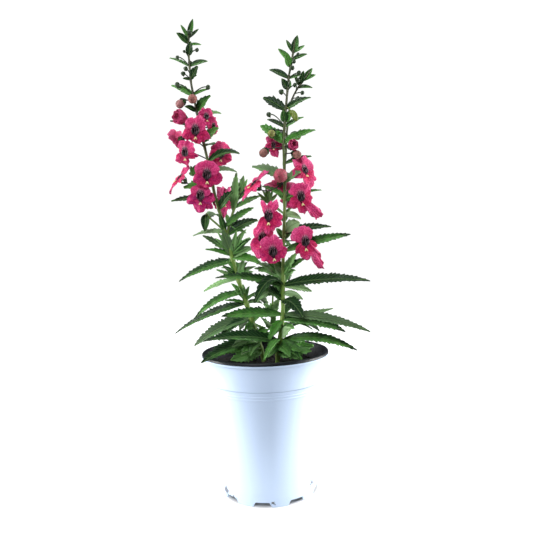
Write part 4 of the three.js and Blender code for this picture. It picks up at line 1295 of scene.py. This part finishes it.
def add_tuft(shape, root, spot, width, paleness, tips, chance):
    """Small bright blades that spread from a stem, or from the end of a short shoot."""
    if spot:
        spot = Vector(spot)
        _, top = ring((spot - root).normalized(), Vector((0.3, 1, 0.2)))
        add_blade(shape, root, spot, 1.8, UP, top, 0.8, 0, False, 0.2)
        root = spot
    for tip in tips:
        tip = Vector(tip)
        reach = (tip - root).length
        hint = (UP + Vector((chance.draw(-0.5, 0.5), -1.2, 0))).normalized()
        wide = width * chance.draw(0.85, 1.25)
        lift = UP * reach * chance.draw(-0.05, 0.22)
        tone = chance.draw(0.7, 1.5)
        wave = chance.draw(0, 6)
        toothed = width > 4.4 and reach > 14
        add_blade(shape, root, tip, wide, lift, hint, tone, wave, toothed, paleness * chance.draw(0.2, 0.9))


print(len(TUFTS), "tufts")

# %% Every leaf of a stem
SEPALS = 5
SHORT_LEAF = 19
BROAD_LEAF = 7.5
DROOPING_LEAF = 40
SPIKE = 300
SPIKE_TOP = 335


def add_leaf(shape, line, row, chance):
    """A row of the leaf tables. A paleness below 0 makes a leaf darker instead."""
    height, tip, width, lift, lean, *pale = row
    root = stem_at(line, height).to_3d()
    tip = Vector(tip)
    reach = (tip - root).length
    paleness = pale[0] if pale else 0.0
    tone = chance.draw(0.2, 1.25) + min(0, paleness) - (0.25 if height > SPIKE else 0)
    # the long leaves hang with their faces to the light, the youngest are slim
    lean *= 1.6 if reach > DROOPING_LEAF else 1
    width_seen = width * (1.06 if height < SPIKE_TOP else 0.86)
    toothed = reach > SHORT_LEAF or width > BROAD_LEAF
    add_blade(shape, root, tip, width_seen, UP * lift, Vector((0, -lean, 1)).normalized(), tone,
              chance.draw(0, 6), toothed, max(0, paleness))


def add_sepals(shape, back, facing, radius, chance):
    """Five tiny blades that hold the back of a flower or coloured bud."""
    side, top = ring(facing, UP)
    for k in range(SEPALS):
        a = math.tau * (k + 0.5) / SEPALS
        out = side * math.cos(a) + top * math.sin(a)
        root = back - facing * 1.2 + out * radius * 0.8
        tip = back + facing * 2.6 + out * (radius + 1.0)
        add_blade(shape, root, tip, 2.3, out * 0.5, out, chance.draw(0.2, 0.5), 0, False)


def grow_leaves(name, lines, node, seed):
    """One piece with all the leaves, sepals and tufts of one plant half."""
    shape = new_shape()
    chance = Chance(seed)
    for line, rows in lines:
        for row in rows:
            add_leaf(shape, line, row, chance)
    for _, back, facing, radius in seats_on(lines):
        add_sepals(shape, back, facing, radius, chance)
    for line, height, *tuft in TUFTS:
        if any(line is own for own, _ in lines):
            add_tuft(shape, stem_at(line, height).to_3d(), *tuft, chance)
    print(name, len(shape.faces), "faces before the thickness")
    return hand_over(name, shape, [leaf_upper, leaf_under], "green_growth", [node], BLADE)


grow_leaves("leaves_left", left_lines, "stem_left", 5)
grow_leaves("leaves_right", right_lines, "stem_right", 17)

# %% [markdown]
# ## Open flowers
#
# Each flower has two broad upper petals, two side petals and a lip round a dark pouch, with a
# forked cream tooth on its lower edge. Petals could be copies of one flower, but real ones are
# ruffled differently, so each is drawn as a fan round the throat: its rim is rounded by a
# formula, and a wave and a tilt make neighbours overlap as they do on the plant.

# %% Where a flower faces
def flower_frame(spot, facing, spin, size):
    """Turns right, up and outward of a flower into the plant's directions."""
    right = UP.cross(facing).normalized()
    above = facing.cross(right)
    turn = math.radians(spin)
    across = right * math.cos(turn) - above * math.sin(turn)
    upward = facing.cross(across)
    turned = Matrix((across, upward, facing)).transposed().to_4x4()
    return Matrix.Translation(Vector(spot)) @ turned @ Matrix.Scale(size, 4)


facing_front = flower_frame((0, 0, 0), direction(270, 0), 0, 1)
print("the right of a flower that faces the front:", [round(c) for c in facing_front.col[0].xyz])

# %% Petal
PETAL = 0.45
THROAT = 3.1
RIM_SPREAD = math.radians(142)
UPPER_TURN = 70
LIP_TURN = 165


def add_petal(shape, place, turn, reach, width, push, curl, tone, chance, frill, foot=THROAT * 0.35):
    """A rounded lobe from the throat's edge; turn is clockwise from the top of the flower.

    It is pushed forward and its rim curls back. frill is how ruffled its edge is. foot is where
    the lobe's round outline begins; a web joins it to the throat.
    """
    wave, ripple = chance.draw(0, 6), chance.draw(0.6, 1.4)
    upper, lip = abs(turn) < UPPER_TURN, abs(turn) > LIP_TURN
    middle, half = (reach + foot) / 2, (reach - foot) / 2

    def lay(u, v):
        q = u * 2 - 1
        # the rim runs from one side of the foot, round the tip, to the other side
        round_to = RIM_SPREAD * q
        waves = 0.08 * math.sin(5.5 * q + wave) + 0.05 * math.sin(13 * q - wave)
        waves += 0.03 * math.sin(29 * q + 2 * wave)
        tear = frill * 0.14 * math.exp(-((q - 0.3 * math.sin(wave)) / 0.1) ** 2)
        rim = 1 + frill * waves - tear
        edge = Vector((width / 2 * math.sin(round_to) * rim, middle + half * math.cos(round_to) * rim))
        flat = (Vector((math.sin(q * 0.95), math.cos(q * 0.95))) * THROAT).lerp(edge, v)
        out = flat.length
        s = min(1, max(0, (out - THROAT) / (reach - THROAT)))
        # forward: the push and curl, a tilt that lets neighbours overlap, a wave, and a fine frill
        n = push * s - curl * s * s + 0.5 * q * s - 0.9 * q * q * s
        n += 1.5 * ripple * s * math.sin(5.2 * q + wave + 1.5 * s)
        n += 0.9 * frill * s ** 3 * math.sin(15 * q + 2 * wave)
        angle = math.radians(turn) + math.atan2(flat.x, flat.y)
        x, y = math.sin(angle) * out, math.cos(angle) * out
        # the dark of the throat, partly painted shade, reaches higher above it, and runs down the lip to
        # the tooth
        up_share = max(0, math.cos(angle)) if upper else 0
        dark = out - 1.4 * up_share ** 2
        if lip:
            dark -= 2.2 * math.exp(-(x / 1.5) ** 2)
        rays = up_share ** 6 * math.exp(-((out - 5.0) / 1.5) ** 2)
        return place @ Vector((x, y, n)), (angle, dark, tone * (0.6 if upper else 1.3), rays)

    wrap(shape, 20, 12, lay, HOOD_FINISH if upper else LIP_FINISH)


print("petals begin", THROAT, "mm from the middle of the throat")

# %% Pouch and tooth
# The pouch is turned from (radius, depth) rows. The tooth is two prongs and the ridge between
# them: across, up and forward of the throat's middle, width, height, and lean in degrees.
POUCH = [(3.3, 0.25), (3.4, -0.5), (3.6, -1.3), (3.4, -2.3), (2.7, -3.2), (1.5, -3.9), (0.05, -4.1)]
TOOTH = [
    (-0.75, -7.0, 1.5, 0.5, 1.05, -22),
    (0.75, -7.0, 1.5, 0.5, 1.05, 22),
    (0, -6.1, 1.1, 0.65, 0.85, 0),
]
TOOTH_THICKNESS = 0.8
TOOTH_TILT = Matrix.Rotation(math.radians(-24), 4, "X")


def add_pouch(shape, place):
    """The dark pouch behind the petals."""
    def lay(u, v):
        radius, depth = POUCH[round(v * (len(POUCH) - 1))]
        # two bulges side by side below, as on the real pouch
        a = -math.tau * u
        bulge = 1 + 0.12 * max(0, -depth / 3) * abs(math.sin(a)) * (1 if math.cos(a) < 0.2 else 0.3)
        x, y = math.sin(a) * radius, math.cos(a) * radius
        return place @ Vector((x * bulge, y * bulge, depth)), (x, y, depth, 0)

    close_tube(shape, wrap(shape, 16, len(POUCH) - 1, lay, THROAT_FINISH), within=0.02)


def add_tooth(shape, place):
    """Two stubby prongs that spread downwards from a low ridge at the throat's lower lip."""
    for x, y, n, wide, tall, lean in TOOTH:
        tilt = TOOTH_TILT @ Matrix.Rotation(math.radians(lean), 4, "Z")
        size = Matrix.Diagonal((wide, tall, TOOTH_THICKNESS, 1))
        spot = place @ Matrix.Translation((x, y, n)) @ tilt @ size
        prong = bmesh.ops.create_icosphere(shape, subdivisions=2, radius=1, matrix=spot)["verts"]
        dress(prong, TOOTH_FINISH)


print(len(POUCH), "rings in a pouch")

# %% The flowers' habits
# No two flowers open alike. Each petal is its turn in degrees clockwise from the top, how far
# it reaches from the throat's middle and how wide it is, both in real millimetres. The flowers
# without a row of their own have the usual petals, in their own size.
USUAL = [(-31, 11.5, 13), (31, 11.5, 13), (-110, 11.5, 11), (110, 11.5, 11), (180, 12, 12)]
HABITS = {
    "right_top": [(-31, 9, 9), (31, 9, 9), (-110, 9, 8), (110, 9, 8), (180, 11, 8)],
    "left_4": [(-31, 12, 12), (31, 12, 13), (-100, 12, 11), (100, 12, 11), (180, 8, 10)],
    "left_8": [(-31, 15, 9), (31, 13, 9), (-110, 13, 8), (110, 12, 8), (180, 17, 8)],
    "left_10": [(-31, 14, 14), (31, 13, 12), (-110, 13, 11), (110, 13, 11), (180, 15, 12)],
    "right_7": [(-31, 9, 11), (31, 9, 11), (-98, 14, 10), (98, 14, 10), (180, 11, 10)],
    "right_8": [(-31, 16, 11), (31, 16, 11), (-120, 14, 11), (120, 14, 11), (180, 18, 11)],
    "right_9": [(-31, 13, 14), (31, 14, 14), (-110, 13, 11), (120, 14, 11), (175, 18, 11)],
    "left_3": [(-30, 11.5, 13), (34, 12, 13), (-112, 12.5, 10), (128, 12.5, 11), (180, 10.5, 13)],
    "left_5": [(-24, 10.5, 11), (52, 11.5, 11), (-124, 12.5, 9), (114, 11, 7), (-164, 11, 10)],
    "left_7": [(-34, 12, 15), (30, 12.5, 15), (-120, 12.5, 11), (112, 13.5, 11), (180, 10.5, 13)],
    "left_9": [(-32, 10.5, 13), (32, 10.5, 13), (-106, 13.5, 10), (104, 13, 9), (-172, 14, 13),
               (143, 14, 9)],
    "right_2": [(-16, 12.5, 14), (40, 11.5, 9), (-122, 12, 11), (108, 11.5, 11), (175, 15, 11)],
    "right_3": [(-23, 13.5, 5.5), (25, 14.5, 8.5), (-139, 16, 8), (118, 12.5, 12), (180, 14.5, 10)],
    "right_4": [(-28, 12, 12), (28, 12, 12), (-137, 14, 11), (125, 12, 12), (-172, 17, 13)],
    "right_5": [(-24, 13.5, 14), (24, 13.5, 14), (102, 12.5, 10), (-112, 11, 9), (180, 9.5, 14)],
    "right_6": [(-34, 14.5, 16), (16, 13, 9), (-140, 12.5, 8), (121, 11.5, 9), (180, 15, 11)],
}
print(len(HABITS), "flowers have petals of their own")

# %% Every flower
USUAL_SIZE = 0.88
# the long petal that hangs from two of the right flowers
HANGING = {"turn": 146, "reach": 29.5, "width": 9, "push": 6, "curl": 8, "frill": 3.0, "foot": 14}


def push_and_curl(turn):
    """How far a petal leans forward and how far its rim curls back: lip, side or upper petal."""
    if abs(turn) > LIP_TURN:
        return 2.2, 3.4
    if abs(turn) > UPPER_TURN:
        return 0.7, 2.6
    return 0.4 + turn / 35, 1.4


chance = Chance(41)
for name, _, _, spot, azimuth, elevation, spin, size, tone, hanging in BLOOMS:
    shape = new_shape()
    place = flower_frame(spot, direction(azimuth, elevation), spin, size)
    scale = size if name in HABITS else USUAL_SIZE
    frill = chance.draw(0.8, 1.5)
    for turn, reach, width in HABITS.get(name, USUAL):
        push, curl = push_and_curl(turn)
        add_petal(shape, place, turn, reach / scale, width / scale, push, curl, tone, chance, frill)
    if hanging:
        add_petal(shape, place, tone=tone, chance=chance, **HANGING)
    add_pouch(shape, place)
    add_tooth(shape, place)
    hand_over("flower_" + name, shape, FLOWER_FINISHES, "petals", ["bloom_" + name], PETAL)
print(len(BLOOMS), "flowers")

# %% [markdown]
# ## Coloured buds
#
# A bud about to open is a ball of rolled petals, dusty pink or yellow-green, and a half-open
# one shows its ruffled inner petals. A sphere with a bumpy finish would have a bare outline,
# so five petals are wrapped round each bud, each one lying a little over the next.

# %% Every coloured bud
# A half-open bud has its row here: how far its petals close over it in degrees, and how ruffled
# they are. Four more petals stand inside it.
OPENED = {"left_opening": (118, 0.10), "right_cup": (105, 0.06)}
CLOSED = (179, 0.012)
BUD_TONE = 0.3
BUD_PETAL = 0.4
BUD_START = 8


def add_rolled_petal(shape, place, radius, turn, span, closing, ruffle):
    """A petal rolled round a bud: turn and span say where it lies, closing how far up it reaches.

    ruffle is how wavy its free edge is.
    """
    def lay(u, v):
        q = u * 2 - 1
        polar = math.radians(BUD_START + (closing - BUD_START) * v - 14 * q * q * v)
        a = math.radians(turn + q * span)
        r = radius * (1 + 0.045 * q + ruffle * v * v * math.sin(7 * q + turn))
        x, y = math.sin(polar) * math.cos(a) * r, math.sin(polar) * math.sin(a) * r
        spot = Vector((x, y, -math.cos(polar) * r * 1.1))
        return place @ spot, (q, 8 + v * 6, BUD_TONE, 0)

    wrap(shape, 8, 10, lay)


chance = Chance(73)
for name, _, _, spot, azimuth, elevation, radius, colour in BUDS:
    shape = new_shape()
    place = flower_frame(spot, direction(azimuth, elevation), 0, 1)
    closing, ruffle = OPENED.get(name, CLOSED)
    start = chance.draw(0, 72)
    for k in range(5):
        add_rolled_petal(shape, place, radius * 0.97, start + 72 * k, 54, closing, ruffle)
    if name in OPENED:
        for k in range(4):
            add_rolled_petal(shape, place, radius * 0.72, start + 40 + 90 * k, 62, 128, 0.14)
        finishes, slot = [petal_face, petal_back], "petals"
    else:
        finishes = [bud_skin("rolled petals " + name.replace("_", " "), colour, "#6a4a3a")] * 2
        slot = "coloured_buds"
    hand_over("bud_petals_" + name, shape, finishes, slot, ["bud_" + name], BUD_PETAL)
print(len(BUDS), "coloured buds")

# %% [markdown]
# ## Floor, light and camera
#
# The plant stands on a white floor in a white studio. A soft box on each side, one above and
# one in front light it evenly. In the photograph the pot's flanks are lost in the white of the
# background, so a narrow lamp on each side and one low in front blow them out to white, and the
# middle of the pot stays a cool grey, which its pale blue-grey base colour partly paints in. The
# camera looks along +Y from 46 cm, a little above the middle, with a slight roll.
#
# The floor could be lit as brightly as the background, but then it would light the pot from
# below. It is a pale grey paint that glows for the camera alone. Its glow is weaker near the pot
# and gone under it, so that the pot has a soft shadow, partly cast by the lamps and partly painted.

# %% Floor
# Distances from the pot's axis, in metres: the floor's glow rises between the first two, and
# under the pot, inside the pads of its foot, there is none. Both are painted shadow.
FLOOR_HALF = 2.5
GLOW_FROM, GLOW_TO = 0.06, 0.3
SHADE_FROM, SHADE_TO = 0.0375, 0.0425
floor_shape = bmesh.new()
bmesh.ops.create_grid(floor_shape, x_segments=8, y_segments=8, size=FLOOR_HALF)
floor = make_object("studio_floor", floor_shape)
floor_paint, tree, shader = new_finish("studio paint, white", 0.8)
mottle = add(tree, "ShaderNodeTexNoise", {"Scale": 60.0, "Detail": 2.0})
tint = add(tree, "ShaderNodeValToRGB", [mottle], stops=[(0.0, "#b8b8b8"), (1.0, "#bcbcbc")])
wire(tree, tint, shader.inputs["Base Color"])
where = add(tree, "ShaderNodeTexCoord").outputs["Object"]
far = add(tree, "ShaderNodeVectorMath", [where], operation="LENGTH")
# painted shadow: the glow is dimmer near the pot and there is none under it
glow = add(tree, "ShaderNodeMapRange", [far, GLOW_FROM, GLOW_TO, 0.72, 1.02])
seen = add(tree, "ShaderNodeLightPath").outputs["Is Camera Ray"]
outside_painted_shadow = add(tree, "ShaderNodeMapRange", [far, SHADE_FROM, SHADE_TO, 0.0, 1.0])
bare = add(tree, "ShaderNodeMath", [glow, outside_painted_shadow], operation="MULTIPLY")
strength = add(tree, "ShaderNodeMath", [bare, seen], operation="MULTIPLY")
shader.inputs["Emission Color"].default_value = linear("#ffffff")
wire(tree, strength, shader.inputs["Emission Strength"])
floor.data.materials.append(floor_paint)
floor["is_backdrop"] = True
print("the floor is", round(floor.dimensions.x), "m wide")


# %% Lights
def hang(lamp, spot, aim, watts):
    """Hangs a lamp at a spot and turns it to its aim."""
    lamp.energy = watts
    holder = bpy.data.objects.new(lamp.name, lamp)
    bpy.context.scene.collection.objects.link(holder)
    holder.location = spot
    holder.rotation_euler = (Vector(aim) - Vector(spot)).to_track_quat("-Z", "Y").to_euler()


def soft_box(name, spot, aim, width, height, watts, colour="#ffffff"):
    """A rectangle of light, its sides in metres."""
    lamp = bpy.data.lights.new(name, "AREA")
    lamp.shape = "RECTANGLE"
    lamp.size, lamp.size_y = width, height
    lamp.color = linear(colour)[:3]
    hang(lamp, spot, aim, watts)


def pot_spot(name, spot, aim, half_angle, watts):
    """A narrow lamp for the pot alone, its half angle in degrees."""
    lamp = bpy.data.lights.new(name, "SPOT")
    lamp.spot_size = math.radians(2 * half_angle)
    lamp.spot_blend = 0.18
    lamp.shadow_soft_size = 0.06
    hang(lamp, spot, aim, watts)


POT_MIDDLE = (0, 0, 0.047)
PLANT_MIDDLE = (0, 0, 0.2)
pot_spot("pot_spot_left", (-0.9, 0.05, 0.05), POT_MIDDLE, 4.8, 62)
pot_spot("pot_spot_right", (0.9, 0.05, 0.05), POT_MIDDLE, 4.8, 78)
pot_spot("pot_spot_foot", (0, -0.7, 0.03), (0, -0.04, -0.012), 3.6, 17)
soft_box("side_box_left", (-1.0, 0.22, 0.25), PLANT_MIDDLE, 0.4, 0.9, 16)
soft_box("side_box_right", (1.0, 0.22, 0.25), PLANT_MIDDLE, 0.4, 0.9, 18)
soft_box("soft_box_top", (-0.1, 0.1, 1.2), PLANT_MIDDLE, 0.5, 0.5, 7)
soft_box("soft_box_front", (-0.35, -1.0, 0.8), (0, 0, 0.24), 0.3, 0.3, 10.2, "#f6f9ff")
print(len(bpy.data.lights), "lamps")

# %% White studio
# The camera sees pure white behind the plant, but only a weak bluish sky lights it.
WHITE_STRENGTH = 1.05
SKY_STRENGTH = 0.16
world = bpy.data.worlds.new("white_studio")
bpy.context.scene.world = world
world.use_nodes = True
tree = world.node_tree
seen_white = add(tree, "ShaderNodeBackground", ["#ffffff", WHITE_STRENGTH])
dim_sky = add(tree, "ShaderNodeBackground", ["#dce6f6", SKY_STRENGTH])
camera_ray = add(tree, "ShaderNodeLightPath").outputs["Is Camera Ray"]
either = add(tree, "ShaderNodeMixShader", [camera_ray, dim_sky, seen_white])
wire(tree, either, tree.nodes["World Output"].inputs["Surface"])
bpy.context.scene.view_settings.view_transform = "Standard"
print("the sky lights the plant with a strength of", SKY_STRENGTH)

# %% Camera
CAMERA_SPOT = Vector((0.0035, -0.461, 0.2086))
PITCH_DOWN = 0.041
ROLL = 0.032
SENSOR_MM = 36
FOCAL_PIXELS = 540.6
FRAME_PIXELS = 533

lens = bpy.data.cameras.new("photo_camera")
lens.sensor_width = SENSOR_MM
lens.lens = SENSOR_MM * FOCAL_PIXELS / FRAME_PIXELS
lens.clip_start = 0.01
camera = bpy.data.objects.new("photo_camera", lens)
bpy.context.scene.collection.objects.link(camera)
look = Vector((0, math.cos(PITCH_DOWN), -math.sin(PITCH_DOWN)))
level_up = Vector((0, math.sin(PITCH_DOWN), math.cos(PITCH_DOWN)))
level_right = Vector((1, 0, 0))
camera_right = level_right * math.cos(ROLL) - level_up * math.sin(ROLL)
camera_up = level_right * math.sin(ROLL) + level_up * math.cos(ROLL)
turned = Matrix((camera_right, camera_up, -look)).transposed().to_4x4()
camera.matrix_world = Matrix.Translation(CAMERA_SPOT) @ turned
bpy.context.scene.camera = camera
print("a", round(lens.lens, 1), "mm lens")

# %% Compare the sizes and finish
shown_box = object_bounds()
for word, (low, high) in (("solids", cad_box), ("shown", shown_box)):
    print(word, [round(c * 1000, 1) for c in low], [round(c * 1000, 1) for c in high])
